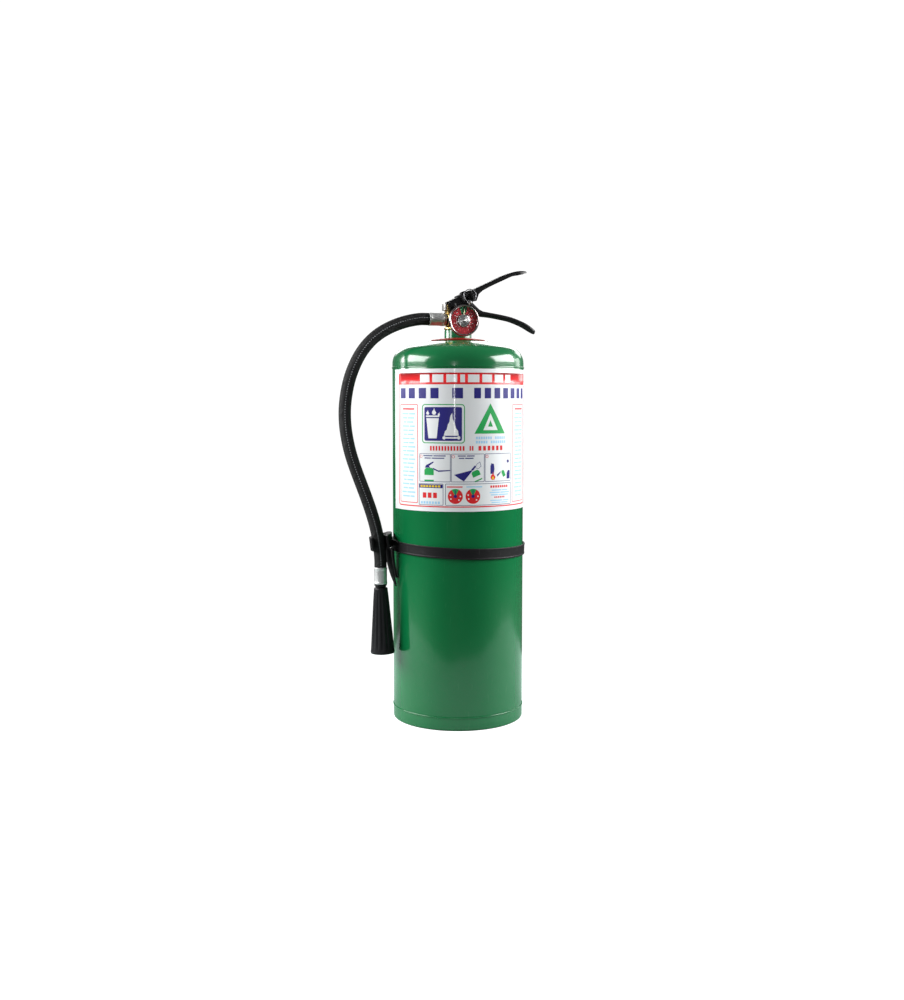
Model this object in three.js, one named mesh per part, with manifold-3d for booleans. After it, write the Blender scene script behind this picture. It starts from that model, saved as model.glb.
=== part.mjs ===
// A stored-pressure water fire extinguisher: painted steel tank, squeeze valve, gauge, hose and nozzle.
// Millimetres, +Z up. The origin is on the tank's axis, at the floor. The levers point along +X, the
// gauge faces -Y, and the hose leaves along -X.
import * as THREE from 'three';
import { mergeVertices } from 'three/addons/utils/BufferGeometryUtils.js';
import Module from 'manifold-3d';

const wasm = await Module();
wasm.setup();

// ---------------------------------------------------------------- driving dimensions
const GAP = 0.3;                 // clearance between neighbouring pieces

const TANK_RADIUS = 88.9;        // 7 inch tank
const TANK_WALL = 1.6;
const BASE_SEAM_Z = 18.3;        // weld between shell and foot
const TOP_SEAM_Z = 478.8;        // weld between shell and dome
const BEAD_HEIGHT = 1.4;
const BEAD_PROUD = 0.7;
const KNUCKLE_Z = 484.8;         // where the dome leaves the cylinder
const KNUCKLE_RADIUS = 22;
const CROWN_RADIUS = 240;
const CROWN_TOP_Z = 517.3;       // top of the crown, carried on to the axis

const NECK_RADIUS = 18.3;
const NECK_BORE = 13.4;
const NECK_TOP_Z = 530;
const COLLAR_RADIUS = 36.5;
const COLLAR_Z = 517.6;          // underside at the neck; it droops to the dome at its rim

const VALVE_RADIUS = 12.3;
const VALVE_BLOCK_HALF = 7.2;
const VALVE_BLOCK_TOP = 563.6;
const CHAMBER_RADIUS = 8.3;
const SEAT_Z = 538;
const OUTLET_Z = 543.7;
const GAUGE_Z = 541;

const PIVOT = { x: -10, z: 562 };
const PIVOT_RADIUS = 2.4;
const RIVET = { x: 9.5, z: 557 };
const RIVET_RADIUS = 1.8;
const PULL_PIN = { x: 12, z: 566.5 };
const PULL_PIN_RADIUS = 2.0;
const LEVER_SLOPE = THREE.MathUtils.degToRad(25.5);
const LEVER_TRAVEL = THREE.MathUtils.degToRad(15);
const LEVER_BACK = 7.2;          // top face's distance from the pivot
const LEVER_HALF = 11.5;         // half of the channel's outer width
const HANDLE_HALF = 9.3;
const SHEET = 1.8;               // lever and handle sheet thickness

const GAUGE_RADIUS = 21;
const GAUGE_BACK = 19.3;         // distance of the case's back from the axis
const GAUGE_DEPTH = 9.4;

const HOSE_RADIUS = 8.25;
const FERRULE_RADIUS = 8.6;
const COUPLING_RADIUS = 10;      // across the hexagon's corners, clear of the valve's flange as it turns
const HOSE_STEPS = 20;
const NOZZLE_TOP = new THREE.Vector3(-112, -9.5, 189.6);
const NOZZLE_LEAN = THREE.MathUtils.degToRad(1.5);

const STRAP_Z = 236.9;
const STRAP_HALF = 7.2;
const STRAP_THICKNESS = 2.2;
const STRAP_TILT = THREE.MathUtils.degToRad(1.9);   // high on the hose's side
const STRAP_DIP = THREE.MathUtils.degToRad(1.1);    // low at the front

const LABEL_LOW_Z = 291;
const LABEL_HIGH_Z = 475.7;
const LABEL_CENTRE = THREE.MathUtils.degToRad(-99);   // azimuth of the label's middle
const LABEL_HALF = THREE.MathUtils.degToRad(80);

const ROUND = 48;                // facets on the tank
const SMALL = 20;                // facets on small turned pieces

// ---------------------------------------------------------------- materials
function paint(colour, roughness, metalness = 0) {
  return new THREE.MeshStandardMaterial({ color: colour, roughness, metalness });
}

const greenPaint = paint(0x1f7f45, 0.22);
const redPlastic = paint(0xb0302a, 0.4);
const labelPaper = paint(0xf2f2ee, 0.35);
const brass = paint(0xb08d3c, 0.3, 1);
const nickel = paint(0xb9b7ae, 0.28, 1);
const steel = paint(0xa9abad, 0.3, 1);
const blackPaint = paint(0x191a1a, 0.35);
const blackPlastic = paint(0x1b1b1d, 0.5);
const blackRubber = paint(0x18191a, 0.75);
const glass = new THREE.MeshStandardMaterial({
  color: 0xffffff, roughness: 0.05, metalness: 0, transparent: true, opacity: 0.3,
});
const dialRed = paint(0x9e1f24, 0.45);
const needleYellow = paint(0xd8cf9a, 0.4);

// ---------------------------------------------------------------- shapes
// A profile of [radius, height] points turned about Z. It starts and ends on the axis, or is closed.
function turned(profile, facets = SMALL) {
  const points = profile.map(([radius, height]) => new THREE.Vector2(radius, height));
  return new THREE.LatheGeometry(points, facets).rotateX(Math.PI / 2);
}

function ring(innerRadius, outerRadius, lowZ, highZ, facets = SMALL) {
  return turned([
    [innerRadius, lowZ], [outerRadius, lowZ], [outerRadius, highZ], [innerRadius, highZ],
    [innerRadius, lowZ],
  ], facets);
}

function rod(radius, lowZ, highZ, facets = SMALL) {
  return turned([[0, lowZ], [radius, lowZ], [radius, highZ], [0, highZ]], facets);
}

// The same pieces laid along X or -Y: height becomes distance from the valve's axis.
function alongX(geometry, y = 0, z = 0) {
  return geometry.rotateY(Math.PI / 2).translate(0, y, z);
}

function towardsFront(geometry, x = 0, z = 0) {
  return geometry.rotateX(Math.PI / 2).translate(x, 0, z);
}

function block(lowX, highX, lowY, highY, lowZ, highZ) {
  const geometry = new THREE.BoxGeometry(highX - lowX, highY - lowY, highZ - lowZ);
  return geometry.translate((lowX + highX) / 2, (lowY + highY) / 2, (lowZ + highZ) / 2);
}

// An outline in the XZ plane, given thickness along Y.
function slab(shape, lowY, highY, curveSegments = 3) {
  const geometry = new THREE.ExtrudeGeometry(shape, {
    depth: highY - lowY, bevelEnabled: false, curveSegments,
  });
  return geometry.rotateX(Math.PI / 2).translate(0, highY, 0);
}

function crossPin(centre, radius, lowY, highY) {
  return towardsFront(rod(radius, -highY, -lowY, 20), centre.x, centre.z);
}

// A round bar along a curve through the given points.
function bar(points, radius, steps, sides = 8, closed = false) {
  const section = new THREE.Shape();
  for (let side = 0; side < sides; side += 1) {
    const angle = (2 * Math.PI * side) / sides;
    const x = radius * Math.cos(angle);
    const y = radius * Math.sin(angle);
    if (side === 0) section.moveTo(x, y);
    else section.lineTo(x, y);
  }
  section.closePath();
  const path = new THREE.CatmullRomCurve3(points, closed);
  return new THREE.ExtrudeGeometry(section, { steps, extrudePath: path, bevelEnabled: false });
}

function torus(radius, wire, facets = 24, sides = 6) {
  return new THREE.TorusGeometry(radius, wire, sides, facets);
}

// ---------------------------------------------------------------- joining and cutting
function signedVolume(position, index) {
  let volume = 0;
  const a = new THREE.Vector3();
  const b = new THREE.Vector3();
  const c = new THREE.Vector3();
  for (let i = 0; i < index.length; i += 3) {
    a.fromArray(position, index[i] * 3);
    b.fromArray(position, index[i + 1] * 3);
    c.fromArray(position, index[i + 2] * 3);
    volume += a.dot(b.cross(c)) / 6;
  }
  return volume;
}

// Shared vertices are merged, flat triangles dropped, and the faces turned to point outwards.
function tidy(geometry) {
  const bare = geometry.clone();
  bare.deleteAttribute('normal');
  bare.deleteAttribute('uv');
  const merged = mergeVertices(bare, 1e-4);
  const kept = [];
  const source = merged.index.array;
  for (let i = 0; i < source.length; i += 3) {
    const [a, b, c] = [source[i], source[i + 1], source[i + 2]];
    if (a !== b && b !== c && c !== a) kept.push(a, b, c);
  }
  if (signedVolume(merged.attributes.position.array, kept) < 0) {
    for (let i = 0; i < kept.length; i += 3) [kept[i + 1], kept[i + 2]] = [kept[i + 2], kept[i + 1]];
  }
  merged.setIndex(kept);
  return merged;
}

function solid(geometry) {
  const clean = tidy(geometry);
  return new wasm.Manifold(new wasm.Mesh({
    numProp: 3,
    vertProperties: new Float32Array(clean.attributes.position.array),
    triVerts: new Uint32Array(clean.index.array),
  }));
}

function shell(manifold) {
  const mesh = manifold.getMesh();
  const geometry = new THREE.BufferGeometry();
  geometry.setAttribute('position', new THREE.BufferAttribute(new Float32Array(mesh.vertProperties), 3));
  geometry.setIndex(new THREE.BufferAttribute(new Uint32Array(mesh.triVerts), 1));
  return geometry;
}

function joined(...geometries) {
  return shell(geometries.map(solid).reduce((whole, piece) => whole.add(piece)));
}

function cut(geometry, ...cutters) {
  return shell(cutters.map(solid).reduce((rest, cutter) => rest.subtract(cutter), solid(geometry)));
}

function common(geometry, other) {
  return shell(solid(geometry).intersect(solid(other)));
}

// ---------------------------------------------------------------- the assembly
const extinguisher = new THREE.Group();

function piece(name, geometry, material, parent = extinguisher) {
  const mesh = new THREE.Mesh(tidy(geometry), material);
  mesh.name = name;
  parent.add(mesh);
  return mesh;
}

// ---------------------------------------------------------------- tank
function crownHeight(radius, offset = 0) {
  const sphere = CROWN_RADIUS - offset;
  return CROWN_TOP_Z - CROWN_RADIUS + Math.sqrt(sphere * sphere - radius * radius);
}

// The dome's outline from the neck hole to its lower edge, moved inwards by an offset.
function domeOutline(holeRadius, lowZ, offset) {
  const knuckleCentre = TANK_RADIUS - KNUCKLE_RADIUS;
  const meeting = Math.asin(knuckleCentre / (CROWN_RADIUS - KNUCKLE_RADIUS));
  const outline = [];
  const holeAngle = Math.asin(holeRadius / (CROWN_RADIUS - offset));
  const crownSteps = offset === 0 ? 3 : 1;
  const knuckleSteps = offset === 0 ? 5 : 3;
  for (let step = 0; step <= crownSteps; step += 1) {
    const angle = holeAngle + ((meeting - holeAngle) * step) / crownSteps;
    const radius = (CROWN_RADIUS - offset) * Math.sin(angle);
    outline.push([radius, crownHeight(radius, offset)]);
  }
  for (let step = 1; step <= knuckleSteps; step += 1) {
    const angle = meeting + ((Math.PI / 2 - meeting) * step) / knuckleSteps;
    const reach = KNUCKLE_RADIUS - offset;
    outline.push([knuckleCentre + reach * Math.sin(angle), KNUCKLE_Z + reach * Math.cos(angle)]);
  }
  outline.push([TANK_RADIUS - offset, lowZ]);
  return outline;
}

function makeTank() {
  const inner = TANK_RADIUS - TANK_WALL;
  const shellLow = BASE_SEAM_Z + BEAD_HEIGHT / 2 + GAP;
  const shellHigh = TOP_SEAM_Z - BEAD_HEIGHT / 2 - GAP;
  piece('tank_shell', ring(inner, TANK_RADIUS, shellLow, shellHigh, ROUND), greenPaint);

  const domeLow = TOP_SEAM_Z + BEAD_HEIGHT / 2 + GAP;
  const holeRadius = NECK_RADIUS + GAP;
  const outside = domeOutline(holeRadius, domeLow, 0);
  const inside = domeOutline(holeRadius, domeLow, TANK_WALL).reverse();
  piece('tank_dome', turned([...outside, ...inside, outside[0]], ROUND), greenPaint);

  for (const [name, seamZ] of [['top_weld_bead', TOP_SEAM_Z], ['base_weld_bead', BASE_SEAM_Z]]) {
    const low = seamZ - BEAD_HEIGHT / 2;
    const high = seamZ + BEAD_HEIGHT / 2;
    piece(name, turned([
      [inner, low], [TANK_RADIUS, low], [TANK_RADIUS + BEAD_PROUD, seamZ], [TANK_RADIUS, high],
      [inner, high], [inner, low],
    ], ROUND), greenPaint);
  }

  // The foot ring curls in at the floor, which leaves a flat face to stand on.
  const footTop = BASE_SEAM_Z - BEAD_HEIGHT / 2 - GAP;
  piece('foot_ring', turned([
    [82.6, 0], [86.9, 0], [88.3, 0.8], [TANK_RADIUS, 2.4], [TANK_RADIUS, footTop],
    [inner, footTop], [inner, 2.6], [86.3, 1.6], [82.6, 1.6], [82.6, 0],
  ], ROUND), greenPaint);

  // The bottom head is dished upwards, and its flange stands inside the foot ring.
  const flange = inner - GAP;
  const dish = [];
  const dishInside = [];
  const dishSteps = 3;
  for (let step = 0; step <= dishSteps; step += 1) {
    const radius = (79 * step) / dishSteps;
    const height = 46 - (22 * radius * radius) / (79 * 79);
    dish.push([radius, height - TANK_WALL]);
    dishInside.push([radius, height]);
  }
  piece('bottom_head', turned([
    ...dish, [83.4, 19.8], [flange - TANK_WALL, 16], [flange - TANK_WALL, 6], [flange, 6],
    [flange, 17.5], [84.4, 22.4], ...dishInside.reverse(),
  ], ROUND), greenPaint);
}

// ---------------------------------------------------------------- neck
function makeNeck() {
  const step = 528;
  piece('neck_collar', turned([
    [NECK_BORE, 506], [NECK_RADIUS, 506], [NECK_RADIUS, 529.2], [NECK_RADIUS - 0.8, NECK_TOP_Z],
    [16.2, NECK_TOP_Z], [16.2, step], [NECK_BORE, step], [NECK_BORE, 506],
  ], 36), greenPaint);
  const weldInner = NECK_RADIUS + GAP;
  const weldOuter = weldInner + 2.6;
  piece('neck_weld', turned([
    [weldInner, crownHeight(weldInner) + GAP], [weldOuter, crownHeight(weldOuter) + GAP],
    [weldInner + 1.2, 517.2], [weldInner, 517.3], [weldInner, crownHeight(weldInner) + GAP],
  ], 36), greenPaint);
  piece('neck_o_ring', torus(14.9, 0.75, 24).translate(0, 0, 529.1), blackRubber);
  const collarInner = NECK_RADIUS + 0.7;
  const collarBend = collarInner + 4;
  const rimZ = crownHeight(COLLAR_RADIUS) + 0.6;
  const collarThickness = 1.1;
  piece('service_collar', turned([
    [collarInner, COLLAR_Z], [collarBend, COLLAR_Z - 0.3], [COLLAR_RADIUS, rimZ],
    [COLLAR_RADIUS, rimZ + collarThickness], [collarBend, COLLAR_Z - 0.3 + collarThickness],
    [collarInner, COLLAR_Z + collarThickness], [collarInner, COLLAR_Z],
  ], 48), redPlastic);
}

// ---------------------------------------------------------------- label
function makeLabel() {
  const inner = TANK_RADIUS + 0.4;
  const outer = inner + 0.3;
  const outline = new THREE.Shape();
  outline.absarc(0, 0, outer, LABEL_CENTRE - LABEL_HALF, LABEL_CENTRE + LABEL_HALF, false);
  outline.absarc(0, 0, inner, LABEL_CENTRE + LABEL_HALF, LABEL_CENTRE - LABEL_HALF, true);
  const geometry = new THREE.ExtrudeGeometry(outline, {
    depth: LABEL_HIGH_Z - LABEL_LOW_Z, bevelEnabled: false, curveSegments: 26,
  });
  piece('label_sheet', geometry.translate(0, 0, LABEL_LOW_Z), labelPaper);
}

// ---------------------------------------------------------------- valve
function makeValve() {
  const half = VALVE_BLOCK_HALF;
  const outletBoss = alongX(rod(10.4, -16.6, -2, 24), 0, OUTLET_Z);
  const gaugePad = towardsFront(rod(7, 2, 12.7, 24), 0, GAUGE_Z);
  const forging = joined(
    rod(13, 508, NECK_TOP_Z + 1, 28),
    rod(18.7, NECK_TOP_Z + GAP, 533.5, 36),
    rod(VALVE_RADIUS, 533, 552, 28),
    block(-16.6, 14, -half, half, 550, VALVE_BLOCK_TOP),
    block(-18.4, -16, -half, half, 555, VALVE_BLOCK_TOP),
    block(-20.6, -18.2, -half, half, 555, 565.6),
    outletBoss,
    gaugePad,
  );
  piece('valve_body', cut(
    forging,
    rod(CHAMBER_RADIUS, 500, SEAT_Z),
    rod(4.6, SEAT_Z - 1, 549),
    rod(3.2, 548, 570, 20),
    rod(4.9, 552.6, 555.2, 24),
    alongX(rod(5.4, -20, -9.5, 24), 0, OUTLET_Z),
    alongX(rod(3.5, -10, 0, 20), 0, OUTLET_Z),
    towardsFront(rod(4.3, 8.8, 15, 20), 0, GAUGE_Z),
    rod(0.9, 500, GAUGE_Z, 10).translate(0, -10.4, 0),
    crossPin(PIVOT, PIVOT_RADIUS + GAP, -10, 10),
    crossPin(RIVET, RIVET_RADIUS + GAP, -10, 10),
  ), brass);

  piece('valve_stem', turned([
    [0, 532.8], [7.2, 532.8], [7.2, 536], [2.8, 536], [2.8, 568.6], [2.4, 570], [1.5, 571],
    [0, 571.4],
  ], 24), steel);
  piece('seat_washer', ring(3.1, 7, 536.3, 537.7, 24), blackRubber);
  piece('stem_o_ring', torus(3.95, 0.75, 24).translate(0, 0, 553.9), blackRubber);

  const turns = 5;
  const stepsPerTurn = 9;
  const steps = turns * stepsPerTurn;
  const springRadius = 6.2;
  const [springLow, springHigh] = [515.7, 531.6];
  const coil = [];
  for (let step = 0; step <= steps; step += 1) {
    const angle = (2 * Math.PI * step) / stepsPerTurn;
    const height = springLow + ((springHigh - springLow) * step) / steps;
    coil.push(new THREE.Vector3(springRadius * Math.cos(angle), springRadius * Math.sin(angle), height));
  }
  piece('stem_spring', bar(coil, 0.65, steps, 5), steel);

  piece('siphon_nut', turned([
    [6.65, 507.5], [8, 507.5], [8, 514.6], [4.2, 514.6], [4.2, 513.2], [6.65, 513.2], [6.65, 507.5],
  ], 24), brass);
  piece('siphon_tube', ring(5.3, 6.35, 56, 512.9, 24), blackPlastic);
}

// ---------------------------------------------------------------- levers
function leverOutline() {
  const outline = new THREE.Shape();
  const heelAngle = THREE.MathUtils.degToRad(214);
  const topAngle = Math.PI / 2 + LEVER_SLOPE;
  outline.moveTo(12, 560.2);
  outline.absarc(PIVOT.x, PIVOT.z, LEVER_BACK, heelAngle, topAngle, true);
  outline.lineTo(31, 589.4);
  outline.splineThru([
    new THREE.Vector2(45.4, 596.2), new THREE.Vector2(59.9, 603.2), new THREE.Vector2(74.4, 608.6),
    new THREE.Vector2(86, 610.8), new THREE.Vector2(95.5, 611.2),
  ]);
  outline.quadraticCurveTo(99, 610.8, 97.4, 608.8);
  outline.splineThru([
    new THREE.Vector2(89, 606.5), new THREE.Vector2(74.4, 603.2), new THREE.Vector2(59.9, 596.6),
    new THREE.Vector2(45.4, 589.9), new THREE.Vector2(31.2, 582.6),
  ]);
  outline.quadraticCurveTo(24.6, 579.2, 22.8, 568.6);
  outline.lineTo(17.5, 567.8);
  outline.closePath();
  return outline;
}

// What is hollowed out of the lever: everything below its sheet, which the tip closes.
function leverHollow() {
  const outline = new THREE.Shape();
  const back = LEVER_BACK - SHEET;
  const under = (x) => PIVOT.z + back / Math.cos(LEVER_SLOPE) + (x - PIVOT.x) * Math.tan(LEVER_SLOPE);
  outline.moveTo(-30, 545);
  outline.lineTo(-30, under(-30));
  outline.lineTo(31, under(31));
  outline.splineThru([
    new THREE.Vector2(45.4, 594.2), new THREE.Vector2(59.9, 601.2), new THREE.Vector2(74.4, 606.6),
    new THREE.Vector2(86, 608.8), new THREE.Vector2(92.5, 609.2),
  ]);
  outline.lineTo(93.5, 600);
  outline.lineTo(60, 545);
  outline.closePath();
  return outline;
}

// Seen from above, both levers are parallel-sided and end in a rounded tip.
function tipOutline(halfWidth, tipX, straightTo) {
  const outline = new THREE.Shape();
  outline.moveTo(-40, -halfWidth);
  outline.lineTo(straightTo, -halfWidth);
  outline.bezierCurveTo(tipX - 3, -halfWidth + 0.5, tipX, -halfWidth + 5, tipX, 0);
  outline.bezierCurveTo(tipX, halfWidth - 5, tipX - 3, halfWidth - 0.5, straightTo, halfWidth);
  outline.lineTo(-40, halfWidth);
  outline.closePath();
  return new THREE.ExtrudeGeometry(outline, { depth: 200, bevelEnabled: false, curveSegments: 5 })
    .translate(0, 0, 450);
}

function makeLever() {
  const inner = LEVER_HALF - SHEET;
  const channel = cut(
    slab(leverOutline(), -LEVER_HALF, LEVER_HALF),
    slab(leverHollow(), -inner, inner),
  );
  // The lever's slot lets it pass the pull pin: in the lever, the pin climbs along an arc.
  const reach = new THREE.Vector2(PULL_PIN.x - PIVOT.x, PULL_PIN.z - PIVOT.z);
  const slotCutters = [];
  const stations = 6;
  for (let station = 0; station <= stations; station += 1) {
    const turnedReach = reach.clone().rotateAround(new THREE.Vector2(), (LEVER_TRAVEL * station) / stations);
    const centre = { x: PIVOT.x + turnedReach.x, z: PIVOT.z + turnedReach.y };
    slotCutters.push(crossPin(centre, PULL_PIN_RADIUS + 0.4, -14, 14));
  }
  const drilled = cut(channel, crossPin(PIVOT, PIVOT_RADIUS + GAP, -14, 14), ...slotCutters);
  piece('operating_lever', common(drilled, tipOutline(LEVER_HALF, 98, 84)), blackPaint);

  piece('lever_pivot_pin', joined(
    crossPin(PIVOT, PIVOT_RADIUS, -12.5, 12.5),
    crossPin(PIVOT, 3.8, LEVER_HALF + GAP, 13.2),
    crossPin(PIVOT, 3.8, -13.2, -LEVER_HALF - GAP),
  ), steel);
  piece('handle_rivet', crossPin(RIVET, RIVET_RADIUS, -HANDLE_HALF + 0.1, HANDLE_HALF - 0.1), steel);
}

function handleOutline() {
  const outline = new THREE.Shape();
  const back = 4.9;
  const slope = LEVER_SLOPE - LEVER_TRAVEL;
  outline.moveTo(14.6, 552.8);
  outline.lineTo(-14, 552.8);
  outline.absarc(PIVOT.x, PIVOT.z, back, Math.PI, Math.PI / 2 + slope, true);
  const lobeX = 14.5;
  outline.lineTo(lobeX, PIVOT.z + back / Math.cos(slope) + (lobeX - PIVOT.x) * Math.tan(slope));
  outline.quadraticCurveTo(17, 566, 22.5, 561.9);
  outline.quadraticCurveTo(27, 556.6, 33, 554.9);
  outline.splineThru([
    new THREE.Vector2(45.6, 553), new THREE.Vector2(60.1, 550.7), new THREE.Vector2(74.7, 547.6),
    new THREE.Vector2(89.4, 542.4), new THREE.Vector2(104.3, 533.8), new THREE.Vector2(110.5, 528.6),
  ]);
  outline.quadraticCurveTo(111.6, 526.6, 109.4, 526.6);
  outline.splineThru([
    new THREE.Vector2(104.3, 529.8), new THREE.Vector2(89.5, 537.4), new THREE.Vector2(74.8, 542.5),
    new THREE.Vector2(60.1, 545.4), new THREE.Vector2(45.6, 547.6), new THREE.Vector2(28.3, 548.8),
  ]);
  outline.lineTo(15, 549.4);
  outline.closePath();
  return outline;
}

function handleHollow() {
  const outline = new THREE.Shape();
  outline.moveTo(-30, 540);
  outline.lineTo(16.5, 540);
  outline.lineTo(16.5, 551.2);
  outline.splineThru([
    new THREE.Vector2(28.3, 550.6), new THREE.Vector2(45.6, 549.4), new THREE.Vector2(60.1, 547.2),
    new THREE.Vector2(74.8, 544.3), new THREE.Vector2(89.5, 539.3), new THREE.Vector2(103, 532.6),
  ]);
  outline.lineTo(106, 545);
  outline.lineTo(90, 580);
  outline.lineTo(-30, 580);
  outline.closePath();
  return outline;
}

function makeHandle() {
  const inner = HANDLE_HALF - SHEET;
  const channel = cut(
    slab(handleOutline(), -HANDLE_HALF, HANDLE_HALF),
    slab(handleHollow(), -inner, inner),
  );
  const drilled = cut(
    channel,
    crossPin(PIVOT, PIVOT_RADIUS + GAP, -14, 14),
    crossPin(RIVET, RIVET_RADIUS + GAP, -14, 14),
    crossPin(PULL_PIN, PULL_PIN_RADIUS + 0.4, -14, 14),
  );
  piece('carry_handle', common(drilled, tipOutline(HANDLE_HALF, 111.2, 97)), blackPaint);
}

// ---------------------------------------------------------------- pull pin, ring and seal
function makePullPin() {
  const eyeY = -15.5;
  const eye = block(PULL_PIN.x - 1.3, PULL_PIN.x + 1.3, -18.4, -12.9, PULL_PIN.z - 2.7, PULL_PIN.z + 2.7);
  piece('pull_pin', cut(
    joined(
      crossPin(PULL_PIN, PULL_PIN_RADIUS, -12.5, 15),
      crossPin(PULL_PIN, 3.2, -13.2, -LEVER_HALF - GAP),
      eye,
    ),
    alongX(rod(1.45, -5, 5, 16), eyeY, PULL_PIN.z).translate(PULL_PIN.x, 0, 0),
  ), steel);
  const ringRadius = 8.5;
  piece('pull_ring', torus(ringRadius, 1, 28).rotateX(Math.PI / 2)
    .translate(PULL_PIN.x, eyeY, PULL_PIN.z + ringRadius), steel);
}

// The seal is a plastic strap laid over the lever, beside the pin, in the lever's own sloped frame.
function makeSeal() {
  const frame = new THREE.Group();
  frame.position.set(PIVOT.x, 0, PIVOT.z);
  frame.rotation.y = -LEVER_SLOPE;
  extinguisher.add(frame);
  const inside = LEVER_HALF + GAP;
  const outside = inside + 1;
  const low = LEVER_BACK + GAP;
  const top = low + 1.5;
  const legs = [];
  for (const [from, to] of [[13, 17], [27.2, 31]]) {
    legs.push(block(from, to, -outside, -inside, -6, top));
    legs.push(block(from, to, inside, outside, -6, top));
  }
  piece('tamper_seal', joined(block(13, 31, -outside, outside, low, top), ...legs), blackPlastic, frame);
}

// ---------------------------------------------------------------- gauge
function makeGauge() {
  const place = (geometry) => towardsFront(geometry, 0, GAUGE_Z);
  // Heights inside the gauge count from the back of its case.
  const seat = (geometry) => place(geometry.translate(0, 0, GAUGE_BACK));
  const wall = 19.6;
  const hexagon = turned([[0, 13], [6.6, 13], [6.6, GAUGE_BACK - GAP], [0, GAUGE_BACK - GAP]], 6);
  piece('gauge_stem', joined(
    place(rod(4, 9.1, 14, 20)), place(hexagon), place(rod(4, 18, GAUGE_BACK + 1.5, 20)),
  ), brass);
  piece('gauge_case', seat(turned([
    [4.3, 0], [wall - 1.5, 0], [wall, 1.5], [wall, 6.8], [wall - 0.8, 6.8], [wall - 0.8, 1.8],
    [wall - 1.6, 1], [4.3, 1], [4.3, 0],
  ], 30)), nickel);
  piece('gauge_bezel', seat(turned([
    [wall + GAP, 3.6], [GAUGE_RADIUS, 3.6], [GAUGE_RADIUS, 8.4], [GAUGE_RADIUS - 1, GAUGE_DEPTH],
    [18.2, GAUGE_DEPTH], [18.2, 8.6], [20.3, 8.4], [20.3, 4.8], [wall + GAP, 4.4],
    [wall + GAP, 3.6],
  ], 30)), nickel);
  piece('gauge_lens', seat(rod(19.9, 7.15, 8.05, 30)), glass);
  piece('gauge_dial', seat(ring(1.2, 18.5, 4.1, 4.6, 30)), dialRed);
  const bourdon = new THREE.Shape();
  bourdon.absarc(0, 0, 13, -Math.PI / 2, Math.PI, false);
  bourdon.absarc(0, 0, 11, Math.PI, -Math.PI / 2, true);
  bourdon.closePath();
  const tube = new THREE.ExtrudeGeometry(bourdon, { depth: 1.6, bevelEnabled: false, curveSegments: 10 });
  piece('bourdon_tube', seat(tube.translate(0, 0, 1.8)), brass);
  piece('gauge_spindle', seat(rod(0.85, 1.9, 4.9, 12)), brass);
  const needle = new THREE.Shape();
  needle.moveTo(-0.9, -3);
  needle.lineTo(0.9, -3);
  needle.lineTo(0.45, 15.4);
  needle.lineTo(-0.45, 15.4);
  needle.closePath();
  const pointer = new THREE.ExtrudeGeometry(needle, { depth: 0.35, bevelEnabled: false });
  piece('gauge_needle', seat(pointer.rotateZ(-0.06).translate(0, 0, 5.2)), needleYellow);
  piece('needle_hub', seat(turned([
    [0, 5.85], [7.4, 5.85], [7.4, 6.1], [3, 6.7], [0, 6.8],
  ], 28)), nickel);
}

// ---------------------------------------------------------------- hose and nozzle
const HOSE_ROUTE = [
  [-41.8, 0, 543.7], [-54, 0, 543.4], [-68, 0, 541], [-82, 0, 536.9], [-96, -0.1, 531.1],
  [-110, -0.3, 523], [-123, -0.6, 512.1], [-134.2, -1, 498.4], [-143.2, -1.6, 482.6],
  [-150.4, -2.3, 464.6], [-155.2, -3.1, 445.5], [-157.9, -4, 425.5], [-158, -5, 404.8],
  [-155.6, -6, 384.6], [-151.2, -6.9, 364.5], [-145, -7.7, 344.8], [-137.8, -8.5, 325],
  [-130.6, -9.1, 305.4], [-124, -9.4, 285.8], [-118.4, -9.5, 265.8], [-114.4, -9.5, 245.4],
  [-112.3, -9.5, 225], [-112, -9.5, 212.6],
].map(([x, y, z]) => new THREE.Vector3(x, y, z));

function makeHose() {
  const along = (geometry) => alongX(geometry, 0, OUTLET_Z);
  piece('coupling_gasket', along(ring(5.7, 8.4, -17.9, -16.9, 28)), blackRubber);
  const hexagon = along(turned([
    [0, -22], [COUPLING_RADIUS, -22], [COUPLING_RADIUS, -18.2], [0, -18.2],
  ], 6));
  piece('hose_coupling', cut(
    joined(hexagon, along(rod(5, -18.5, -10.2, 24)), along(rod(4.4, -38, -21, 24))),
    along(rod(2.8, -50, 0, 20)),
  ), nickel);
  piece('upper_ferrule', along(ring(4.8, FERRULE_RADIUS, -41.3, -22.3, 32)), steel);
  piece('hose', bar(HOSE_ROUTE, HOSE_RADIUS, HOSE_STEPS, 10), blackRubber);
  const [lowX, lowY] = [NOZZLE_TOP.x, NOZZLE_TOP.y];
  piece('lower_ferrule', ring(4.8, FERRULE_RADIUS, 189.9, 212.1, 32).translate(lowX, lowY, 0), steel);
}

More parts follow.
